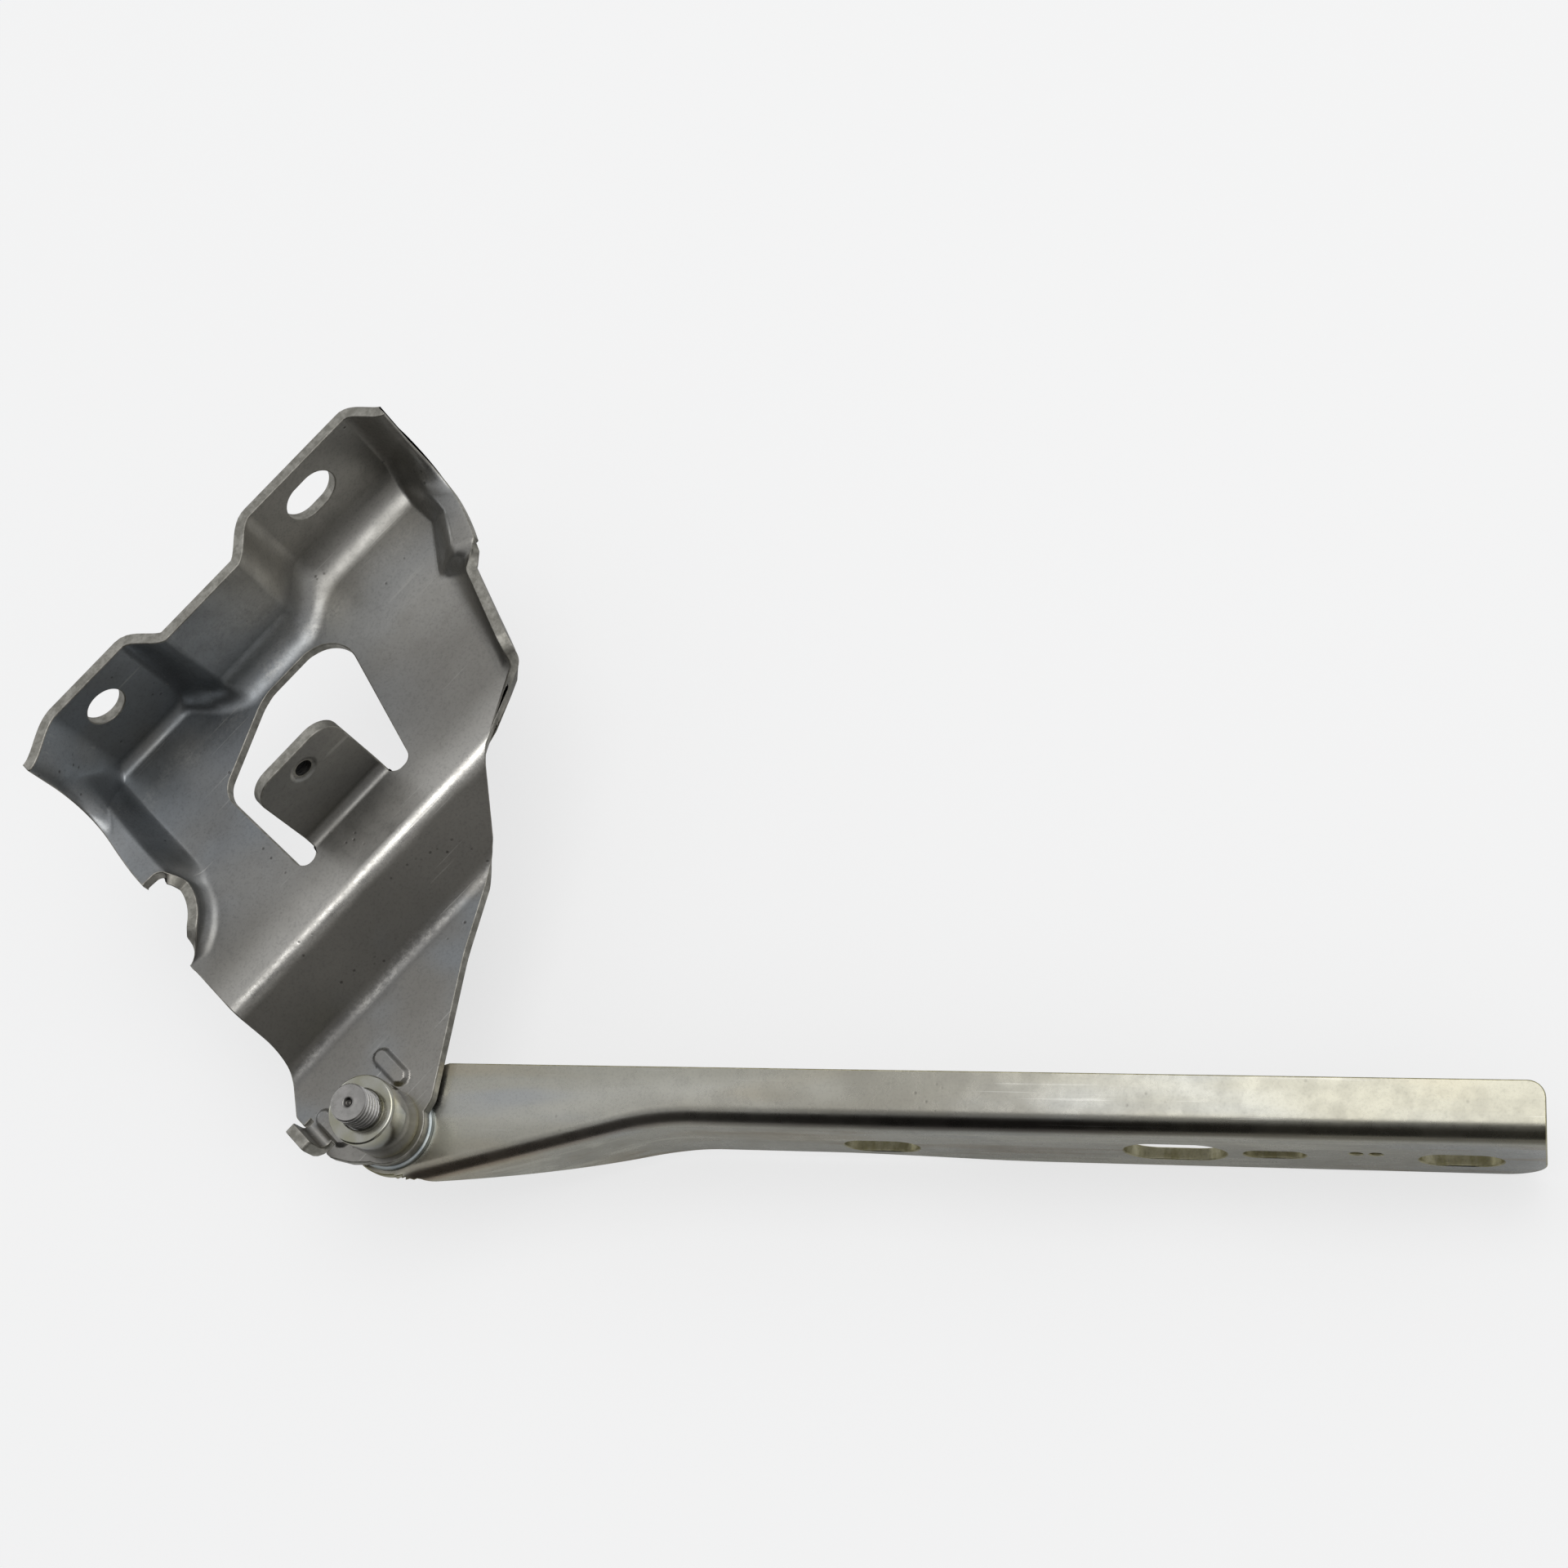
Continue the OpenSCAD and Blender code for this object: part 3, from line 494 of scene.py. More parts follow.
def plain_bracket(t, c):
    """Face of the pressing before its notch is turned up: s, n, z at t along and c across.

    The middle follows sheet_section. On a return, q runs from its root to its edge and
    s = mix(start, end, q), n and z = mix(section, trimmed edge, rise(q)).
    """
    first, last = low_start(t), high_start(t)
    s = first + (last - first) * (c - 17) / 107
    n, z = sheet_section(t, s)
    up = rise_of(t)
    q = np.clip((17 - c) / return_w, 0, 1)
    bn, bz = sheet_section(t, first)
    en, ez = return_edge(t, 6.6)
    w = mix(flare(q), ramp(q, 0, 1), up) * np.where(t > t_bend, 1, ramp(en, 73, 82))
    low = c < 17
    s = np.where(low, mix(first, low_end(en), q), s)
    n = np.where(low, mix(bn, en, ramp(q, 0, 1)), n)
    z = np.where(low, mix(bz, ez, w), z)
    q = np.clip((c - 124) / return_w, 0, 1)
    bn, bz = sheet_section(t, last)
    en, ez = return_edge(t, 8.6)
    far_s = mix(last, 132.6 - 8 * ((116 - en) / 31) ** 2, q)
    far_z = mix(bz, ez, mix(flare(q), ramp(q, 0, 1), up))
    run = np.clip((q - 0.125) / 0.875, 0, 1) * rim_length
    a = np.minimum(run, rim_arc) / rim_r
    foot = rim_foot(en)
    rim_s = np.where(q < 0.125, mix(last, foot, q * 8), foot + rim_r * np.sin(a))
    rim_h = bz + rim_r * (1 - np.cos(a)) + np.maximum(run - rim_arc, 0)
    k = np.where(t > t_bend, 0, 1 - ramp(en, 83.5, 87))
    high = c > 124
    s = np.where(high, mix(far_s, rim_s, k), s)
    n = np.where(high, mix(bn, en, ramp(q, 0, 1)), n)
    z = np.where(high, mix(far_z, rim_h, k), z)
    z = z + np.where(t < foot_n, rib(s, n, 1) + rib(s, n, -1), 0)
    return np.stack([s, n, z])


def collar(angle):
    """Height of the turned-up edge, its radius and the bend's angle, round the notch's centre."""
    height = collar_h * ramp(angle, -87, -48) * (1 - ramp(angle, -8, 30))
    edge = mix(notch_r + 3, notch_r + 0.6, ramp(angle, -6, 24))
    return height, edge, np.arccos(np.clip(1 - height / collar_fillet, 0, 1))


def blank_r(angle):
    """Radius of the notch in the flat sheet, at an angle in degrees about its centre."""
    height, edge, turn = collar(angle)
    return edge + collar_fillet * (np.sin(turn) - turn) - np.maximum(height - collar_fillet, 0)


def bracket(t, c):
    """The pressing's face, with its edge turned up round the notch.

    A point at distance d from the notch's axis lies l = reach - d along a bend of radius
    collar_fillet and a straight stand: d' = reach - fillet sin, z' = fillet (1 - cos) + stand.
    The collar's height and the return's own height are joined by a soft maximum.
    """
    p = plain_bracket(t, c)
    s, n = p[0] - notch_s, p[1] - notch_n
    d = np.maximum(np.hypot(s, n), 1e-6)
    height, edge, turn = collar(np.degrees(np.arctan2(n, s)))
    reach = edge + collar_fillet * np.sin(turn)
    l = np.maximum(reach - d, 0)
    a = np.minimum(l / collar_fillet, turn)
    stand = np.maximum(l - collar_fillet * turn, 0)
    d_new = np.where(l > 0, reach - collar_fillet * np.sin(a) - np.cos(turn) * stand, d)
    own = p[2] - web_z
    up = collar_fillet * (1 - np.cos(a)) + np.sin(turn) * stand
    soft = (own + up + np.sqrt((own - up) ** 2 + 0.16 * np.clip(up, 0, 1))) / 2
    near = (l > 0) & (t > t_web) & (t < t_bend)
    d_new = np.where(near, d_new, d)
    return np.stack([notch_s + s / d * d_new, notch_n + n / d * d_new, np.where(near, web_z + soft, p[2])])


def find(surface, want, pick, u, v):
    """u, v at which the picked coordinates of surface are want, by Newton steps."""
    for _ in range(14):
        e = 0.02
        p = surface(u, v)[pick]
        du = (surface(u + e, v)[pick] - p) / e
        dv = (surface(u, v + e)[pick] - p) / e
        miss = want - p
        det = du[0] * dv[1] - du[1] * dv[0]
        det = np.where(np.abs(det) < 1e-3, np.where(det < 0, -1e-3, 1e-3), det)
        u = u + np.clip((miss[0] * dv[1] - miss[1] * dv[0]) / det, -2, 2)
        v = v + np.clip((du[0] * miss[1] - du[1] * miss[0]) / det, -2, 2)
    return u, v


def web_place(s, n):
    """t and c of a point of the webs, given by s and n."""
    q = (n - even_n) / (125 - set_in(s, 4.0) - bend_r(s) - even_n)
    t = np.where(n > even_n, t_root + 26 * q, spine_t(n))
    first, last = low_start(t), high_start(t)
    c = 17 + (s - first) / (last - first) * 107
    c = np.where(s < first, 17 - return_w * (first - s) / (first - low_end(np.minimum(n, 66))), c)
    return t, np.where(s > last, 124 + return_w * (s - last) / 30.4, c)


stop_lo, stop_hi = 8.0, 16.0
side_line = np.array([
    (-6.8, 90), (-6.8, 34), (-16, 20.5), (-16, stop_hi + 1), (-13.5, stop_hi + 1), (-13.5, stop_hi),
    (-14, stop_hi), (-14, stop_lo), (-13.5, stop_lo), (-13.5, stop_lo - 1), (-16.5, stop_lo - 1),
    (-16.3, 5), (-13.5, 0), (-9.5, -4.5), (0, -5), (9, -5.5), (12.5, -4.7), (44, 17.5), (71.2, 33.1),
    (87.2, 45.3), (95.4, 51.2), (102.7, 55.1), (160, 85), (160, 90)])
side_line = rounded(side_line, [0, 14, 2, 0, 0, 0, 0, 0, 0, 0, 0.5, 1.5, 4, 3, 0, 0, 5, 60, 8, 10, 8, 0, 0, 0])
end_r = 10.5
far_out = np.hypot(side_line[:, 0], side_line[:, 1]) > end_r
crossing = [k for k in range(len(side_line)) if far_out[k] != far_out[(k + 1) % len(side_line)]]
ends = []
for k in crossing:
    a, b = side_line[k], side_line[(k + 1) % len(side_line)]
    lo, hi = (0.0, 1.0) if not far_out[(k + 1) % len(side_line)] else (1.0, 0.0)
    for _ in range(40):
        m = (lo + hi) / 2
        lo, hi = (m, hi) if np.hypot(*(a + (b - a) * m)) > end_r else (lo, m)
    ends.append(a + (b - a) * lo)
turn_a, turn_b = (math.atan2(e[1], e[0]) for e in ends)
arc = np.linspace(turn_a, turn_b, 46)
end_arc = end_r * np.stack([np.cos(arc), np.sin(arc)], axis=1)
outline = np.concatenate([side_line[:crossing[0] + 1], end_arc, side_line[crossing[1] + 1:]])
fine_outline = dense(outline, 0.8)

tab_from, tab_to, tab_foot, tab_face = 37.6, 65.4, 61.3, 64.3
window = rounded(
    [(31.4, 59.8), (tab_from, 59.8), (tab_from, tab_foot), (tab_to, tab_foot), (tab_to, 59.8), (71.6, 59.8),
     (84, 107.6), (55.6, 107.6), (30.4, 95)], [3, 3, 0, 0, 3, 3, 10, 15, 7])
fine_window = dense(window, 0.9)
turns = np.linspace(0, 2 * math.pi, 49)[:-1]
round_hole = np.stack([26.5 + 5.5 * np.cos(turns), 41 + 5.5 * np.sin(turns)], axis=1)
oblong_hole = np.stack([104.2 + np.sign(np.cos(turns)) * 1.7 + 6.2 * np.cos(turns), 41 + 6.2 * np.sin(turns)], axis=1)
notch_turn = np.linspace(-88, 12, 60)
notch_arc = blank_r(notch_turn) * [np.cos(np.radians(notch_turn)), np.sin(np.radians(notch_turn))]
corner = math.sqrt((notch_r + 0.8) ** 2 - (notch_end - notch_n) ** 2)
notch_top = rounded([notch_arc[:, -1] + [notch_s, notch_n], (notch_s + corner, notch_end), (-4, notch_end)],
                    [0, 2.2, 0], step=12)
notch_edge = dense(np.concatenate([notch_arc.T + [notch_s, notch_n], notch_top[1:]]), 0.7, closed=False)
notch_poly = np.concatenate([notch_edge, [(-30, notch_end), (-30, 60), (-8, 60)]])
notch_t, notch_c = find(plain_bracket, notch_edge.T, [0, 1], spine_t(notch_edge[:, 1]) + 1.0,
                        0 * notch_edge[:, 0] + 10.0)
miss = np.hypot(*(plain_bracket(notch_t, notch_c)[:2] - notch_edge.T))
notch_uv = np.stack([notch_t, notch_c], axis=1)[(notch_c > 2.0) & (miss < 0.05)]


def wall_place(points):
    """t and c of points of the flange wall, given by s and z."""
    s, z = points.T
    r = bend_r(s)
    return np.stack([t_wall + 28 * (z - web_z - r) / (flange_z - web_z - r), s], axis=1)


def bracket_keep(t, c):
    """True on the pressing: inside its outline, outside its notch, window and holes."""
    s, n, z = plain_bracket(t, c)
    kept = inside(outline_poly, t, c)
    kept &= ~((t < t_bend) & inside(notch_poly, s, n))
    kept &= ~((t < t_bend) & inside(window, s, n))
    kept &= ~((t > t_wall) & (inside(round_hole, s, z) | inside(oblong_hole, s, z)))
    return kept & (t < t_end) & (c > 17 - return_w) & (c < 124 + return_w)


outline_uv = np.stack(web_place(fine_outline[:, 0], fine_outline[:, 1]), axis=1)
used = (fine_outline[:, 1] < 72) & (fine_outline[:, 0] < 102.71)
breaks = np.where(~used)[0]
outline_uv = np.roll(outline_uv, -breaks[-1] - 1, axis=0)[:used.sum()]
rim_end = rounded([(0, 55.1), (7.6, 55.7), (rim_length, 61.5), (rim_length, 64)], [0, 5.5, 2.5, 0], step=9)[1:]
rim_end = dense(rim_end, 0.6, closed=False)
rim_uv = np.stack([spine_t(rim_end[:, 1]), 124 + return_w * (0.125 + 0.875 * rim_end[:, 0] / rim_length)], axis=1)
outline_uv = np.concatenate([outline_uv, rim_uv])
outline_poly = np.concatenate([[(outline_uv[0, 0], -9)], outline_uv, [(outline_uv[-1, 0], 150), (t_end + 9, 150), (t_end + 9, -9)]])
c_low, c_high = 17 - return_w, 124 + return_w
frame_line = dense(np.array([(t_root - 20, c_low), (t_end, c_low), (t_end, c_high), (outline_uv[-1, 0], c_high)]),
                   0.9, closed=False)
window_uv = np.stack(web_place(fine_window[:, 0], fine_window[:, 1]), axis=1)
t_rows = np.concatenate([
    np.arange(-11, 26, 2.0), np.linspace(foot_n, t_slope, 9), np.linspace(t_slope, t_crest, 9)[1:-1],
    np.linspace(t_crest, t_web, 11), np.arange(t_web + 1.5, t_root, 1.5), np.arange(t_root, t_bend, 1.3),
    np.linspace(t_bend, t_wall, 18), np.linspace(t_wall, t_end, 15)[1:-1]])
c_rows = np.concatenate([np.linspace(c_low, 17, 22), np.arange(18.2, 123.5, 1.3), np.linspace(124, c_high, 22)])
grid = np.stack(np.meshgrid(t_rows, c_rows, indexing="ij"), axis=2).reshape(-1, 2)
rib_s, rib_n = np.meshgrid(np.arange(7.6, 13.7, 0.4), np.arange(3.4, 17.3, 0.45))
for side in (-1, 1):
    grid = np.concatenate([grid, np.stack(web_place(side * rib_s.ravel(), rib_n.ravel()), axis=1)])
collar_d = np.linspace(13.2, 21, 16)
collar_a = np.radians(np.linspace(-100, 60, 56))
ring_s = notch_s + collar_d[:, None] * np.cos(collar_a)
ring_n = notch_n + collar_d[:, None] * np.sin(collar_a)
ring_t, ring_c = find(plain_bracket, np.stack([ring_s.ravel(), ring_n.ravel()]), [0, 1],
                      spine_t(ring_n.ravel()) + 1.0, 0 * ring_s.ravel() + 14.0)
near = np.hypot(*(plain_bracket(ring_t, ring_c)[:2] - np.stack([ring_s.ravel(), ring_n.ravel()]))) < 0.05
ring_uv = np.stack([ring_t, ring_c], axis=1)[near & (ring_c > c_low + 0.5)]
grid_s, grid_n, _ = plain_bracket(grid[:, 0], grid[:, 1])
grid = grid[~((np.hypot(grid_s - notch_s, grid_n - notch_n) < 21.4) & (grid[:, 0] < t_bend))]
grid = np.concatenate([grid, ring_uv])

web_chart = chart(bracket, -1, [
    (outline_uv, False), (frame_line, False), (window_uv, True), (notch_uv, False),
    (wall_place(round_hole), True), (wall_place(oblong_hole), True)], grid, bracket_keep)

tab_r = 3.0
tab_arc = tab_r * math.pi / 2
tab_high = 31.5 - tab_r + tab_arc
thread_s, thread_l = 51.5, 24 - tab_r + tab_arc


def bent_tab(across, l):
    """Lanced tab: a quarter bend of radius tab_r and a flat plate with a drawn hole.

    Near the hole the plate is drawn toward its back: depth 0.5 (1 - ramp(d, 2.6, 3.9)).
    """
    a = np.clip(l / tab_r, 0, math.pi / 2)
    d = np.hypot(across - thread_s, l - thread_l)
    drawn = 0.5 * (1 - ramp(d, 2.6, 3.9))
    return np.stack([across, tab_foot + tab_r * np.sin(a) + drawn,
                     web_z + tab_r * (1 - np.cos(a)) + np.maximum(l - tab_arc, 0)])


tab_line = rounded([(tab_from, 0), (tab_to, 0), (tab_to, tab_high), (tab_from, tab_high)], [0, 0, 7, 7])
tab_line = dense(tab_line, 0.8)
seam = fine_window[(np.abs(fine_window[:, 1] - tab_foot) < 1e-6)]
tab_line = np.concatenate([seam[np.argsort(seam[:, 0])][:, :1] * [1, 0] + [0, 0],
                           tab_line[tab_line[:, 1] > 1e-6]])
thread_hole = np.stack([thread_s + 2.6 * np.cos(turns), thread_l + 2.6 * np.sin(turns)], axis=1)
tab_ring = np.concatenate([[(thread_s + r * math.cos(a), thread_l + r * math.sin(a)) for a in turns[::2]]
                           for r in (3.5, 4.4, 5.4)])
tab_grid = np.stack(np.meshgrid(np.arange(tab_from + 1.2, tab_to - 1, 1.5), np.concatenate(
    [np.linspace(0.6, tab_arc, 7), np.arange(tab_arc + 1.4, tab_high - 1, 1.6)])), axis=2).reshape(-1, 2)
tab_grid = np.concatenate([tab_grid[np.hypot(tab_grid[:, 0] - thread_s, tab_grid[:, 1] - thread_l) > 6.2], tab_ring])


def tab_keep(across, l):
    """True on the tab outside its hole."""
    return inside(tab_line, across, l) & (np.hypot(across - thread_s, l - thread_l) > 2.58)


tab_chart = chart(bent_tab, 1, [(tab_line, True), (thread_hole, True)], tab_grid, tab_keep, clear=0.55)

stop_r = 2.0
stop_arc = stop_r * math.pi / 2


def bent_stop(l, n):
    """Small stop tab at the round end: a quarter bend of radius stop_r and a short stand."""
    a = np.clip(l / stop_r, 0, math.pi / 2)
    return np.stack([-14 - stop_r * np.sin(a), n, stop_r * (1 - np.cos(a)) + np.maximum(l - stop_arc, 0)])


stop_high = 7.5 - stop_r + stop_arc
stop_seam = fine_outline[np.abs(fine_outline[:, 0] + 14) < 1e-6][:, 1]
stop_seam = stop_seam[(stop_seam >= stop_lo - 1e-6) & (stop_seam <= stop_hi + 1e-6)]
stop_side = dense(rounded([(0, stop_lo), (stop_high, stop_lo), (stop_high, stop_hi), (0, stop_hi)], [0, 1.2, 1.2, 0]), 0.8)
stop_side = stop_side[(stop_side[:, 0] > 1e-6)]
stop_line = np.concatenate([np.stack([0 * stop_seam, np.sort(stop_seam)[::-1]], axis=1), stop_side])
stop_grid = np.stack(np.meshgrid(np.arange(0.5, stop_high - 0.6, 0.6), np.arange(9, 15.5, 1.0)), axis=2).reshape(-1, 2)
stop_chart = chart(bent_stop, -1, [(stop_line, True)], stop_grid, lambda l, n: inside(stop_line, l, n), clear=0.4)

points, normals, tris = weld([web_chart, tab_chart, stop_chart])
turn50 = math.radians(50)
spin = np.array([[math.cos(turn50), -math.sin(turn50), 0], [math.sin(turn50), math.cos(turn50), 0], [0, 0, 1]])
points = points @ spin.T - [0, 0, 15]
normals = normals @ spin.T
body_bracket = sheet_mesh("bracket_pressing", points, normals, tris, 3.0)
# Rolled steel, slightly brown, with bluish patches near the flange and below the step. Its step's
# ridge, the step's foot and the flange's fillet carry speckled bright lines that are partly worn metal
# and partly painted highlight. A broad painted highlight lies above the ridge, a painted lighter band
# runs along the flange's bend, and patches of painted shade lie along the foot's bend.
look = Finish("bracket_steel", turn50)
broad = look.noise(16.0, 2.0, 0.5)
colour = look.blend(look.spread(broad, 0.38, 0.64), (0.29, 0.28, 0.258), (0.375, 0.362, 0.335))
cool = look.sum("MULTIPLY", look.spread(look.x, 0.100, 0.055), look.spread(look.y, 0.05, 0.088))
cool = look.sum("MULTIPLY", cool, look.spread(look.noise(26.0, 2.0), 0.36, 0.54, 0.45, 1.0))
foot_cool = look.sum("MULTIPLY", look.band(look.y, 0.022, 0.014, 0.005), look.spread(look.noise(22.0, 2.0), 0.38, 0.58))
colour = look.blend(look.sum("MULTIPLY", look.sum("MAXIMUM", cool, foot_cool), 0.8), colour, (0.31, 0.335, 0.36))
high = look.sum("MULTIPLY", look.spread(look.z, 0.010, 0.020), look.spread(look.x, 0.055, 0.085))
colour = look.blend(look.sum("MULTIPLY", high, 0.6), colour, (0.43, 0.40, 0.335))
pale = look.sum("MULTIPLY", look.spread(look.x, 0.070, 0.105), look.spread(look.y, 0.072, 0.098))
colour = look.blend(look.sum("MULTIPLY", pale, 0.7), colour, (0.55, 0.54, 0.51))
# A darker patch on the web's lower left.
darker_web_patch = look.sum("MULTIPLY", look.spread(look.x, 0.028, 0.0), look.band(look.y, 0.054, 0.02, 0.004))
colour = look.blend(look.sum("MULTIPLY", darker_web_patch, 0.55), colour, (0.22, 0.21, 0.185))
# Painted shade: dark patches along the concave bend at the step's foot.
foot_bend_shade = look.sum("MULTIPLY", look.band(look.y, 0.0285, 0.0038, 0.0006), look.spread(look.noise(45.0, 2.0), 0.62, 0.42, 0.3, 1.0))
colour = look.blend(look.sum("MULTIPLY", foot_bend_shade, 0.6), colour, (0.16, 0.16, 0.16))
speck = look.spread(look.noise(900.0, 4.0, 0.75), 0.40, 0.62)
patchy = look.spread(look.noise(75.0, 2.0), 0.34, 0.62)
# The ridge's bright line is partly worn metal and partly painted highlight.
rub_and_sheen = look.sum("ADD", look.sum("MULTIPLY", speck, 0.4), look.spread(look.x, 0.0, 0.085, 0.6, 0.8))
ridge = look.sum("MULTIPLY", look.band(look.y, 0.0453, 0.0032, 0.0005), rub_and_sheen)
# Painted highlight: a broad soft glow on the web just above the ridge.
above_crest_highlight = look.sum("MULTIPLY", look.spread(look.y, 0.0425, 0.0452), look.spread(look.y, 0.0455, 0.060, 0.5, 0.0))
# Speckled bright lines along the step's foot and the flange's fillet, partly worn metal and partly painted highlight.
foot = look.sum("MULTIPLY", look.band(look.y, 0.0292, 0.0028, 0.0006), look.sum("MULTIPLY", speck, patchy))
fillet = look.sum("MULTIPLY", look.band(look.y, 0.1115, 0.006, 0.002), look.sum("MULTIPLY", speck, patchy))
lit_bend = look.band(look.y, 0.103, 0.014, 0.002)
colour = look.blend(look.sum("MULTIPLY", lit_bend, 0.4), colour, (0.56, 0.585, 0.61))
# worn gathers worn metal and painted highlight: the ridge line, the painted glow above it, and the foot and fillet
# lines.
worn = look.sum("MAXIMUM", ridge, look.sum("MAXIMUM", above_crest_highlight, look.sum("MULTIPLY", look.sum("ADD", foot, fillet), 0.25)))
colour = look.blend(worn, colour, (0.86, 0.84, 0.79))
steel = look.finish(colour, look.spread(worn, 0.0, 0.9, 0.36, 0.24), grain=1.0, scratch=1.0, pits=1.2)
# Sheared edges, paler and duller than the rolled faces.
look = Finish("bracket_cut_edge", turn50)
shear = look.noise(420.0, 3.0, 0.6, stretch=(1.0, 1.0, 0.35))
colour = look.blend(look.spread(shear, 0.35, 0.65), (0.30, 0.29, 0.255), (0.46, 0.445, 0.40))
cut = look.finish(colour, 0.42, grain=1.2, scratch=0.2, pits=0.4, strength=0.5)
body_bracket.data.materials.append(steel)
body_bracket.data.materials.append(cut)
# The tab's drawn collar with the M5 thread cut in it: rows of circles with s = thread_s + r cos a,
# z = thread's height + r sin a, n = the row's. The thread's r falls by tooth depth along a helix.
rows = np.arange(64.8, 68.61, 0.08)
turn = np.arange(96) * 2 * math.pi / 96
inner = 2.56 - 0.34 * np.clip(1 - np.abs((rows[:, None] / 0.8 - turn / (2 * math.pi)) % 1 - 0.5) * 2.6, 0, 1)
lip = np.array([(2.75, 68.85), (3.0, 69.05), (4.0, 69.07), (4.3, 68.95), (4.45, 68.6), (4.5, 68.1), (4.5, 66.2), (2.9, 66.2),
                (2.9, 64.8)])
radius = np.concatenate([inner, lip[:, :1] + 0 * turn])
level = np.concatenate([rows, lip[:, 1]])[:, None] + 0 * turn
verts = np.stack([thread_s + radius * np.cos(turn), level, web_z + 24 + radius * np.sin(turn)], axis=2).reshape(-1, 3)
k, j = np.meshgrid(np.arange(len(radius)), np.arange(96), indexing="ij")
k, j, below, after = k.ravel(), j.ravel(), ((k + 1) % len(radius)).ravel(), ((j + 1) % 96).ravel()
faces = np.stack([k * 96 + j, k * 96 + after, below * 96 + after, below * 96 + j], axis=1).tolist()
tab_collar = build("tab_collar", verts @ spin.T - [0, 0, 15], faces)
tab_collar.data.set_sharp_from_angle(angle=math.radians(40))
tab_collar.data.materials.append(cut)
look = Finish("tab_thread", turn50)
# Painted shade: the thread inside the tab's hole is coloured near black, with mottling.
thread_shade_mottle = look.spread(look.noise(300.0, 3.0, 0.6), 0.35, 0.65)
tab_collar.data.materials.append(look.finish(look.blend(thread_shade_mottle, (0.025, 0.025, 0.024), (0.07, 0.068, 0.062)), 0.5,
                                             scratch=0.0, pits=0.0))
tab_collar.data.polygons.foreach_set("material_index", (k < len(rows)).astype(np.int32))
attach(tab_collar, "bracket")
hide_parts("body_bracket")
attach(body_bracket, "bracket")
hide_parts("body_bracket")

# ---------------------------------------------------------------------------
# Hood arm
# One 3 mm pressing of angle section. Its web lies behind the bracket and its flange runs out
# beside the pivot, past an elbow, to the two slotted hood faces. x counts along the arm and l
# across the sheet from the start of the bend.

arm_top, arm_face, arm_r, elbow_x, arm_l = 17.2, 3.0, 5.0, 70.0, 282.0
arm_z = -(15 + 3 + 0.05 + 1.4)
arm_arc = arm_r * math.pi / 2


def face_y(x):
    """y of the flange's outer face: straight past the elbow, sloped toward the pivot."""
    run = elbow_x - x
    soft = (run + 10) ** 2 / 40
    return arm_face - 0.27 * np.where(run > 10, run, np.where(run < -10, 0, soft))


def flange_depth(x):
    """Depth of the flange below the web."""
    grow = mix(1.9, 29.3, 1 - np.clip(1 - (x - 8) / 62, 0, 1) ** 1.8)
    return np.where(x < 8, 1.9, np.where(x < elbow_x, grow, mix(29.3, 34, ramp(x, 108, 165))))


def arm_edge(x):
    """l of the flange's lower edge."""
    d = flange_depth(x)
    curved = arm_r * np.arccos(np.clip(1 - d / arm_r, 0, 1))
    return curved + np.maximum(d - arm_r, 0) + 3 * (1 - ramp(x, 1, 8))


def arm_section(x, l):
    """Face of the arm: flat web for l < 0, a quarter bend of radius arm_r, then the flange."""
    hub = face_y(x) + arm_r
    a = np.clip(l, 0, arm_arc) / arm_r
    bent = ramp(x, 1, 8)
    y = hub - mix(np.clip(l, 0, arm_arc), arm_r * np.sin(a), bent) - np.minimum(l, 0)
    z = arm_r * (np.cos(a) - 1) * bent - np.maximum(l - arm_arc, 0)
    return np.stack([x, y, arm_z + z])


tip_line = rounded([(-6, 10.8), (15, 17.9), (15, 60), (40, 60), (40, -60), (9.5, -60), (9.5, -13.6), (2, -12.24),
                    (0, -5), (-5, 0)], [0] * 10)
ring = np.radians(np.linspace(-81, -243, 90))
tip_arc = 12.4 * np.stack([np.cos(ring), np.sin(ring)], axis=1)


def arm_l_of(x, y):
    """l of a point of the web or bend, given by x and y."""
    hub = face_y(x) + arm_r
    run = hub - y
    low, high = 0 * x, 0 * x + arm_arc
    for _ in range(40):
        m = (low + high) / 2
        less = hub - arm_section(x, m)[1] < run
        low, high = np.where(less, m, low), np.where(less, high, m)
    return np.where(run < 0, run, low)


def flange_line(x, z):
    """x, l of points on the flange at depth z below the web."""
    return np.stack([x, arm_arc + (z - arm_r)], axis=1)


def slot(x, z, length, width):
    """Outline of a slot on the flange, with its centre at x and depth z."""
    run = (length - width) / 2
    return flange_line(x + np.sign(np.cos(turns)) * run + width / 2 * np.cos(turns), z + width / 2 * np.sin(turns))


arm_holes = [slot(124, 21, 19, 11), slot(263, 21, 19, 11), slot(197, 19.5, 24.5, 15.5), slot(220.5, 19.5, 14.5, 7)]
small = [flange_line(x + 1.5 * np.cos(turns[::2]), 16.5 + 1.5 * np.sin(turns[::2])) for x in (239.5, 244.0)]
bore_r = 12.0 / 2 + 0.05 + 1.0 + 0.02
bore = np.stack([bore_r * np.cos(turns), bore_r * np.sin(turns)], axis=1)
bore_uv = np.stack([bore[:, 0], arm_l_of(bore[:, 0], bore[:, 1])], axis=1)
tip_uv = dense(np.concatenate([[(2.0, -13.2)], tip_arc, [(15, 17.9)]]), 0.7, closed=False)
tip_uv = np.stack([tip_uv[:, 0], arm_l_of(tip_uv[:, 0], tip_uv[:, 1])], axis=1)
xs = np.concatenate([np.arange(1.5, 20, 0.6), np.arange(20, 282, 1.4), [282 - 10.0]])
edge_xs = np.arange(0.5, 272.1, 0.8)
lower_edge = np.stack([edge_xs, arm_edge(edge_xs)], axis=1)
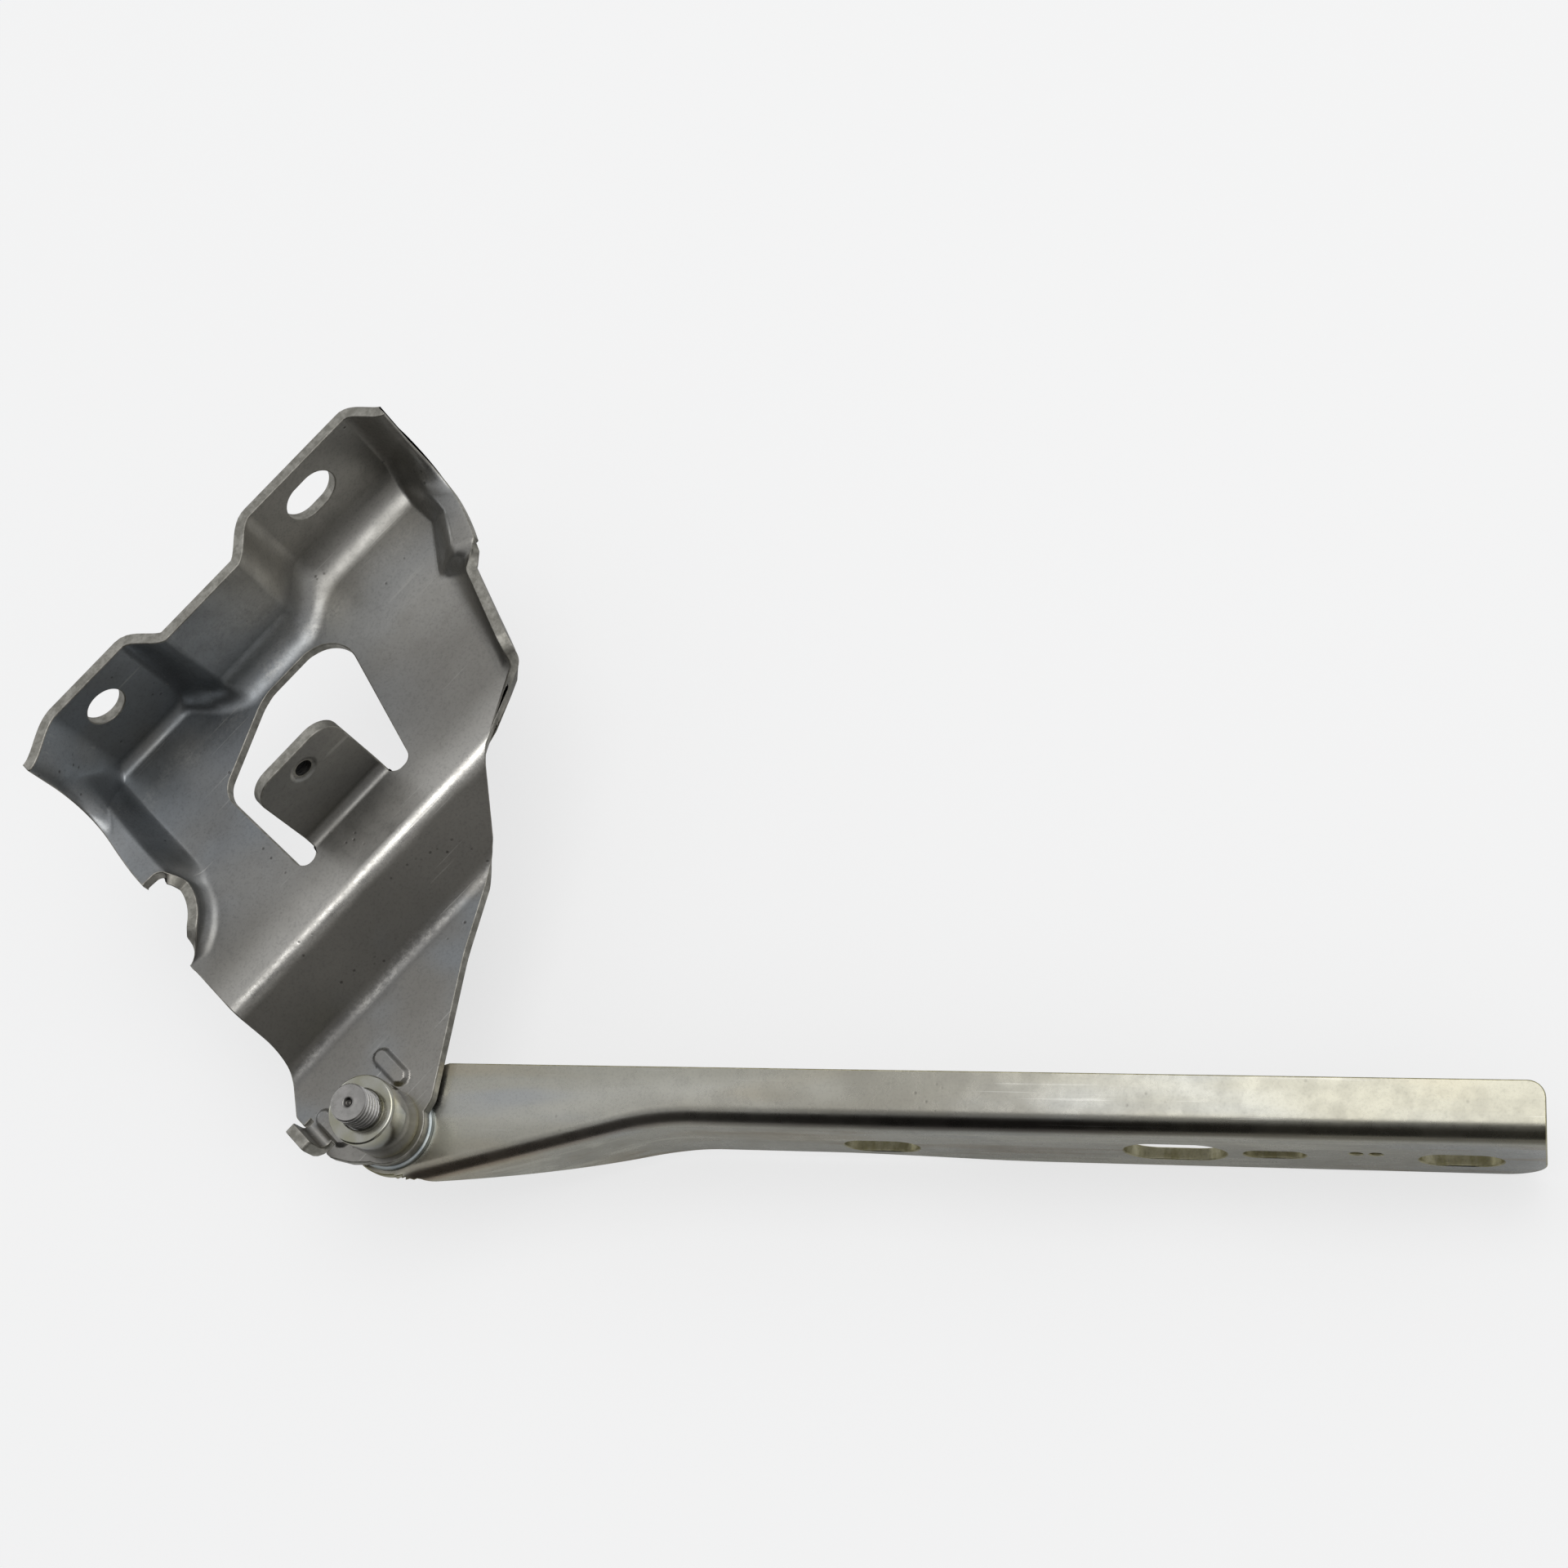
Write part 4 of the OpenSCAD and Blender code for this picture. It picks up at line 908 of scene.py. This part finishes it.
corner = np.linspace(math.pi / 2, 0, 14)
round_out = flange_line(272 + 10 * np.cos(corner), 24 + 10 * np.sin(corner))
top_corner = [(282, -(arm_top - 4 - face_y(np.array(282.0)) - arm_r))] + [
    (278 + 4 * math.sin(a), -(arm_top - 4 + 4 * math.cos(a) - 3 - arm_r)) for a in np.linspace(math.pi / 2, 0, 8)]
top_xs = np.arange(277, 12, -1.0)
top_line = np.stack([top_xs, -(arm_top - face_y(top_xs) - arm_r)], axis=1)
far_end = dense(np.array([round_out[-1], top_corner[0]]), 1.0, closed=False)
border = np.concatenate([lower_edge, round_out[1:], far_end[1:], np.array(top_corner)[1:], top_line])


def arm_keep(x, l):
    """True on the arm: inside its border and round end, outside its bore and openings."""
    _, y, z = arm_section(x, l)
    depth = arm_z - z
    tip = (x > 24) | (np.hypot(x, y) < 12.4) | inside(tip_line, x, y)
    kept = (l < arm_edge(x)) & (y < arm_top) & tip & (np.hypot(x, y) > bore_r)
    kept &= ~((x > 272) & (depth > 24) & (np.hypot(x - 272, depth - 24) > 10))
    kept &= ~((x > 278) & (y > 13.2) & (np.hypot(x - 278, y - 13.2) > 4)) & (x < 282)
    for hole in arm_holes + small:
        kept &= ~inside(hole, x, l)
    return kept


x_rows = np.concatenate([np.arange(-12, 20, 1.0), np.arange(20, 60, 1.6), np.arange(60, 82, 1.0), np.arange(82, 282, 1.8)])
l_rows = np.concatenate([np.arange(-27, -1.5, 1.8), np.linspace(-0.6, arm_arc, 12), np.arange(arm_arc + 1.2, 37, 1.7)])
arm_grid = np.stack(np.meshgrid(x_rows, l_rows, indexing="ij"), axis=2).reshape(-1, 2)
arm_lines = [(border, False), (tip_uv, False), (bore_uv, True)] + [(h, True) for h in arm_holes + small]
points, normals, tris = chart(arm_section, -1, arm_lines, arm_grid, arm_keep)
hood_arm = sheet_mesh("arm_pressing", points, normals, tris, 3.0)
# Zinc plate with a faint olive to bluish play of colour that runs along the arm.
look = Finish("arm_zinc")
along = look.noise(34.0, 3.0, 0.6, stretch=(0.12, 1.6, 1.0))
colour = look.blend(look.spread(along, 0.36, 0.64), (0.47, 0.46, 0.40), (0.58, 0.57, 0.51))
tints = look.noise(40.0, 2.0, 0.5, stretch=(0.3, 1.6, 1.0))
colour = look.blend(look.spread(tints, 0.52, 0.68, 0.0, 0.6), colour, (0.45, 0.475, 0.50))
colour = look.blend(look.spread(tints, 0.46, 0.34, 0.0, 0.5), colour, (0.52, 0.46, 0.34))
# Painted shade: the web and bend are darkened along the middle of the arm.
middle = look.sum("MULTIPLY", look.band(look.x, 0.14, 0.08, 0.01), look.spread(look.z, -0.028, -0.02))
colour = look.blend(look.sum("MULTIPLY", middle, 0.85), colour, (0.25, 0.24, 0.205))
slant = look.sum("MULTIPLY", look.sum("MINIMUM", look.sum("SUBTRACT", look.x, 0.07), 0.0), 0.27)
across = look.sum("SUBTRACT", look.y, slant)
web_side = look.spread(look.z, -0.0199, -0.0196)
shade = look.sum("MULTIPLY", look.spread(across, 0.013, 0.002), web_side)
colour = look.blend(look.sum("MULTIPLY", shade, 0.5), colour, (0.24, 0.22, 0.18))
# Painted shade along the bend's fold: near black, brown-red towards the round end.
fold_shade = look.sum("MULTIPLY", look.spread(look.z, -0.0196, -0.0204), look.spread(look.z, -0.0238, -0.0219))
fold_shade = look.sum("MULTIPLY", fold_shade, look.spread(look.x, 0.02, 0.20, 0.4, 0.92))
fold_shade_colour = look.blend(look.spread(look.x, 0.03, 0.10), (0.20, 0.10, 0.065), (0.055, 0.045, 0.04))
colour = look.blend(fold_shade, colour, fold_shade_colour)
tip_side = look.sum("MULTIPLY", look.spread(look.x, 0.15, 0.25), look.spread(look.z, -0.028, -0.02))
colour = look.blend(look.sum("MULTIPLY", tip_side, 0.55), colour, (0.34, 0.325, 0.25))
streak = look.noise(95.0, 3.0, 0.65, stretch=(0.12, 1.0, 1.0))
flank = look.spread(look.z, -0.0235, -0.026)
brown = look.sum("MULTIPLY", look.spread(streak, 0.52, 0.62, 0.0, 0.6), flank)
colour = look.blend(brown, colour, (0.37, 0.31, 0.22))
bright = look.sum("MULTIPLY", look.spread(streak, 0.45, 0.38, 0.0, 0.5), flank)
colour = look.blend(bright, colour, (0.72, 0.71, 0.62))
zinc = look.finish(colour, 0.27, grain=0.6, scratch=0.6, pits=0.4)
look = Finish("arm_cut_edge")
shear = look.noise(380.0, 3.0, 0.6, stretch=(1.0, 0.35, 1.0))
colour = look.blend(look.spread(shear, 0.35, 0.65), (0.40, 0.37, 0.22), (0.55, 0.52, 0.36))
zinc_cut = look.finish(colour, 0.34, grain=1.0, scratch=0.2, pits=0.2, strength=0.4)
hood_arm.data.materials.append(zinc)
hood_arm.data.materials.append(zinc_cut)
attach(hood_arm, "arm")
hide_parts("hood_arm")

# ---------------------------------------------------------------------------
# Pivot bolt
# Turned and cold-headed, with an M10 thread of 1.5 mm pitch on the end that stands out of the
# sleeve, a chamfered tip with the lathe's centre mark, and a plain shank and head behind.

pitch, stud_r, stud_end = 1.5, 5.0, 7.0
thread_depth = 0.85
z_rows = np.concatenate([np.arange(-2.6, stud_end + 0.001, 0.06), [stud_end]])
turn = np.arange(160) * 2 * math.pi / 160
zz, aa = np.meshgrid(z_rows, turn, indexing="ij")
phase = (zz / pitch - aa / (2 * math.pi)) % 1.0
tooth = np.clip((np.abs(phase - 0.5) * 2 - 0.12) / 0.72, 0, 1)
cone = np.clip((stud_end - zz) * 0.9, 0, 0.4)
radius = np.minimum(stud_r - thread_depth * tooth * ramp(stud_end - zz, 0.2, 0.9), stud_r - 0.4 + cone)
radius = radius * np.ones_like(aa)
radius = np.where(zz < -1.6, 5.25, radius)
verts = np.stack([radius * np.cos(aa), radius * np.sin(aa), zz], axis=2).reshape(-1, 3)
k, j = np.meshgrid(np.arange(len(z_rows) - 1), np.arange(160), indexing="ij")
k, j = k.ravel(), j.ravel()
after = (j + 1) % 160
faces = np.stack([k * 160 + j, k * 160 + after, (k + 1) * 160 + after, (k + 1) * 160 + j], axis=1).tolist()
tip_r = np.array([4.5, 4.3, 2.6, 2.0, 1.75, 1.5, 1.25, 1.0, 0.8, 0.5, 0.3, 0.15])
tip_z = np.array([6.99, 6.97, 6.97, 6.96, 6.99, 7.0, 6.95, 6.7, 6.5, 6.42, 6.5, 6.53])
base = len(verts) - 160
for r, z in zip(tip_r, tip_z):
    start = len(verts)
    verts = np.concatenate([verts, np.stack([r * np.cos(turn), r * np.sin(turn), 0 * turn + z], axis=1)])
    faces += [[base + i, base + (i + 1) % 160, start + (i + 1) % 160, start + i] for i in range(160)]
    base = start
faces.append(list(range(base, base + 160)))
low = [(5.25, -2.6), (5.25, -15.0), (6.0, -15.0), (6.0, -24.1), (11.0, -24.1), (11.0, -27.1), (10.7, -27.9), (9.6, -28.6), (0.4, -28.6)]
base = 0
for r, z in low[1:]:
    start = len(verts)
    verts = np.concatenate([verts, np.stack([r * np.cos(turn), r * np.sin(turn), 0 * turn + z], axis=1)])
    faces += [[base + (i + 1) % 160, base + i, start + i, start + (i + 1) % 160] for i in range(160)]
    base = start
faces.append(list(range(base, base + 160))[::-1])
pivot_bolt = build("pivot_stud", verts, faces)
pivot_bolt.data.set_sharp_from_angle(angle=math.radians(35))
look = Finish("stud_steel")
turned = look.noise(300.0, 3.0, 0.6)
colour = look.blend(look.spread(turned, 0.35, 0.65), (0.40, 0.39, 0.37), (0.50, 0.485, 0.465))
around = look.sum("SQRT", look.sum("ADD", look.sum("MULTIPLY", look.x, look.x), look.sum("MULTIPLY", look.y, look.y)), 0.0)
threaded = look.sum("MULTIPLY", look.spread(look.z, 0.0069, 0.0066), look.spread(look.z, -0.003, -0.0025))
# Painted shade in the thread's roots.
root = look.sum("MULTIPLY", look.spread(around, 0.0048, 0.0043), threaded)
colour = look.blend(look.sum("MULTIPLY", root, 0.9), colour, (0.05, 0.045, 0.04))
# Painted highlight on the thread's crests.
crest_highlight = look.sum("MULTIPLY", look.spread(around, 0.0047, 0.0049), threaded)
colour = look.blend(look.sum("MULTIPLY", crest_highlight, 0.8), colour, (0.80, 0.79, 0.77))
# Painted shade in the hollow of the centre mark on the stud's tip.
mark = look.sum("MULTIPLY", look.band(around, 0.0011, 0.0007), look.spread(look.z, 0.0058, 0.0062))
colour = look.blend(look.sum("MULTIPLY", mark, 0.8), colour, (0.09, 0.085, 0.08))
pivot_bolt.data.materials.append(look.finish(colour, 0.27, grain=0.5, scratch=0.2, pits=0.2, strength=0.2))
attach(pivot_bolt, "bracket")
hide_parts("pivot_bolt")

# ---------------------------------------------------------------------------
# Spacer sleeve
# A short turned tube on the stud, glossy yellow zinc, with a small lead at its outer edge.

sleeve = lathe("spacer_tube", [
    (5.27, -15.0), (8.85, -15.0), (9.0, -14.85), (9.0, -0.8), (8.97, -0.55), (8.87, -0.33), (8.72, -0.15), (8.5, -0.04),
    (8.3, 0.0), (5.6, 0.0), (5.45, -0.04), (5.32, -0.15), (5.27, -0.35), (5.27, -15.0)], sharp=50)
look = Finish("sleeve_zinc")
tints = look.noise(130.0, 2.0, 0.5)
colour = look.blend(look.spread(tints, 0.38, 0.62), (0.46, 0.45, 0.35), (0.56, 0.555, 0.50))
low = look.spread(look.z, -0.0125, -0.0145)
colour = look.blend(look.sum("MULTIPLY", low, 0.7), colour, (0.55, 0.50, 0.25))
# Painted reflection: a near-black band round the sleeve's middle stands in for dark surroundings seen in it.
waist_dark_reflection = look.band(look.z, -0.0065, 0.006)
colour = look.blend(look.sum("MULTIPLY", waist_dark_reflection, 0.85), colour, (0.11, 0.115, 0.115))
sleeve.data.materials.append(look.finish(colour, 0.15, grain=0.25, scratch=0.2, pits=0.1, strength=0.12))
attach(sleeve, "bracket")
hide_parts("spacer_sleeve")

# ---------------------------------------------------------------------------
# Pivot bush
# Flanged bush in the arm's bore, seen as a thin blue-grey ring below the bracket.

bush_top, web_back = -18.05, arm_z - 3
flange_r = 11.2
bush = lathe("bush_ring", [
    (6.05, web_back), (7.05, web_back), (7.05, arm_z), (flange_r - 0.2, arm_z), (flange_r, arm_z + 0.2),
    (flange_r, bush_top - 0.25), (flange_r - 0.08, bush_top - 0.08), (flange_r - 0.25, bush_top), (6.2, bush_top), (6.05, bush_top - 0.15), (6.05, web_back)])
look = Finish("bush_coat")
tints = look.noise(220.0, 2.0, 0.5)
colour = look.blend(look.spread(tints, 0.38, 0.62), (0.36, 0.40, 0.41), (0.48, 0.515, 0.51))
bush.data.materials.append(look.finish(colour, 0.36, grain=0.4, scratch=0.2, pits=0.1, strength=0.15))
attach(bush, "arm")
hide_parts("pivot_bush")

# ---------------------------------------------------------------------------
# Rear washer
# Plain washer under the bolt's head, with the stamping's rolled and sharp sides.

washer = lathe("head_washer", [
    (6.02, -24.1), (11.2, -24.1), (11.42, -24.02), (11.5, -23.8), (11.5, -22.6), (11.4, -22.5), (6.3, -22.5),
    (6.1, -22.56), (6.02, -22.75), (6.02, -24.1)])
look = Finish("washer_zinc")
tints = look.noise(180.0, 2.0, 0.5)
colour = look.blend(look.spread(tints, 0.38, 0.62), (0.38, 0.37, 0.31), (0.52, 0.51, 0.45))
washer.data.materials.append(look.finish(colour, 0.28, grain=0.5, scratch=0.4, pits=0.3, strength=0.2))
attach(washer, "bracket")
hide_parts("rear_washer")

# ---------------------------------------------------------------------------
# Floor, light and camera
# A pale floor, a pale surround and soft studio light. The camera stands where the photograph's
# straight edges and round ends put it.

bpy.ops.mesh.primitive_plane_add(size=30, location=(0, 0, -0.056))
floor = bpy.context.active_object
floor.name = "studio_floor"
paper = bpy.data.materials.new("floor_paper")
paper.use_nodes = True
tree = paper.node_tree
plain = tree.nodes["Principled BSDF"]
plain.inputs["Base Color"].default_value = (0.66, 0.66, 0.65, 1)
plain.inputs["Roughness"].default_value = 0.9
shown = tree.nodes.new("ShaderNodeBsdfDiffuse")
shown.inputs["Color"].default_value = (0.9, 0.9, 0.9, 1)
white = tree.nodes.new("ShaderNodeEmission")
white.inputs["Strength"].default_value = 1.03
pale = tree.nodes.new("ShaderNodeMixShader")
pale.inputs[0].default_value = 0.62
tree.links.new(shown.outputs[0], pale.inputs[1])
tree.links.new(white.outputs[0], pale.inputs[2])
choose = tree.nodes.new("ShaderNodeMixShader")
tree.links.new(tree.nodes.new("ShaderNodeLightPath").outputs["Is Camera Ray"], choose.inputs[0])
tree.links.new(plain.outputs[0], choose.inputs[1])
tree.links.new(pale.outputs[0], choose.inputs[2])
tree.links.new(choose.outputs[0], tree.nodes["Material Output"].inputs["Surface"])
floor.data.materials.append(paper)


def card(name, turns, heights, glow, inner=1.25):
    """Part of a dark curtain round the stage, seen only in the metal: radius inner to 1.25 m, even glow."""
    ring = np.radians(np.linspace(*turns, 13))
    verts = [(r * math.cos(a), r * math.sin(a), z) for r, z in zip((inner, 1.25), heights) for a in ring]
    mesh = bpy.data.meshes.new(name)
    mesh.from_pydata(verts, [], [[k, k + 1, k + 14, k + 13] for k in range(12)])
    obj = bpy.data.objects.new(name, mesh)
    bpy.context.scene.collection.objects.link(obj)
    cloth = bpy.data.materials.new(name)
    cloth.use_nodes = True
    cloth.node_tree.nodes["Principled BSDF"].inputs["Base Color"].default_value = (0, 0, 0, 1)
    cloth.node_tree.nodes["Principled BSDF"].inputs["Emission Color"].default_value = (1, 0.98, 0.95, 1)
    cloth.node_tree.nodes["Principled BSDF"].inputs["Emission Strength"].default_value = glow
    mesh.materials.append(cloth)
    obj.visible_camera = obj.visible_shadow = obj.visible_diffuse = False


card("curtain_front", (-150, -72), (-0.05, 1.7), 0.02)
card("curtain_foot", (-150, -50), (-0.054, -0.054), 0.05, inner=0.17)
card("curtain_right", (-72, -5), (-0.05, 0.95), 0.2)
card("curtain_right_top", (-72, -25), (0.95, 1.7), 0.25)
card("curtain_high", (-100, -38), (1.7, 4.2), 0.04)

world = bpy.data.worlds.new("studio")
bpy.context.scene.world = world
world.use_nodes = True
sky = world.node_tree
surround = sky.nodes["Background"]
surround.inputs["Color"].default_value = (0.97, 0.98, 1.0, 1)
surround.inputs["Strength"].default_value = 0.54
pale = sky.nodes.new("ShaderNodeBackground")
pale.inputs["Color"].default_value = (0.95, 0.95, 0.95, 1)
choose = sky.nodes.new("ShaderNodeMixShader")
seen = sky.nodes.new("ShaderNodeLightPath")
sky.links.new(seen.outputs["Is Camera Ray"], choose.inputs[0])
sky.links.new(surround.outputs[0], choose.inputs[1])
sky.links.new(pale.outputs[0], choose.inputs[2])
sky.links.new(choose.outputs[0], sky.nodes["World Output"].inputs["Surface"])


def area_light(name, place, target, size, power, colour=(1, 1, 1)):
    """A soft square lamp at place, turned to target."""
    data = bpy.data.lights.new(name, "AREA")
    data.size, data.energy, data.color = size, power, colour
    lamp = bpy.data.objects.new(name, data)
    lamp.location = place
    lamp.rotation_euler = (Vector(target) - Vector(place)).to_track_quat("-Z", "Y").to_euler()
    bpy.context.scene.collection.objects.link(lamp)


area_light("softbox", (0.32, 0.38, 1.35), (0.32, 0.38, 0), 1.02, 5.6, (1.0, 0.995, 0.98))
area_light("left_window", (-1.1, 0.5, 0.45), (0.0, 0.05, 0), 0.6, 0.9, (0.97, 0.985, 1.0))

camera = bpy.data.objects.new("photo_camera", bpy.data.cameras.new("photo_camera"))
bpy.context.scene.collection.objects.link(camera)
camera.data.sensor_width = 36
camera.data.lens = 54.95
camera.data.clip_start = 0.01
right, up, back = (0.9535, 0.0902, -0.2875), (0.0212, 0.9316, 0.3627), (0.3005, -0.3520, 0.8864)
camera.matrix_world = Matrix.Translation((0.2818, -0.1250, 0.5280)) @ Matrix((right, up, back)).transposed().to_4x4()
bpy.context.scene.camera = camera
bpy.context.scene.view_settings.view_transform = "Standard"
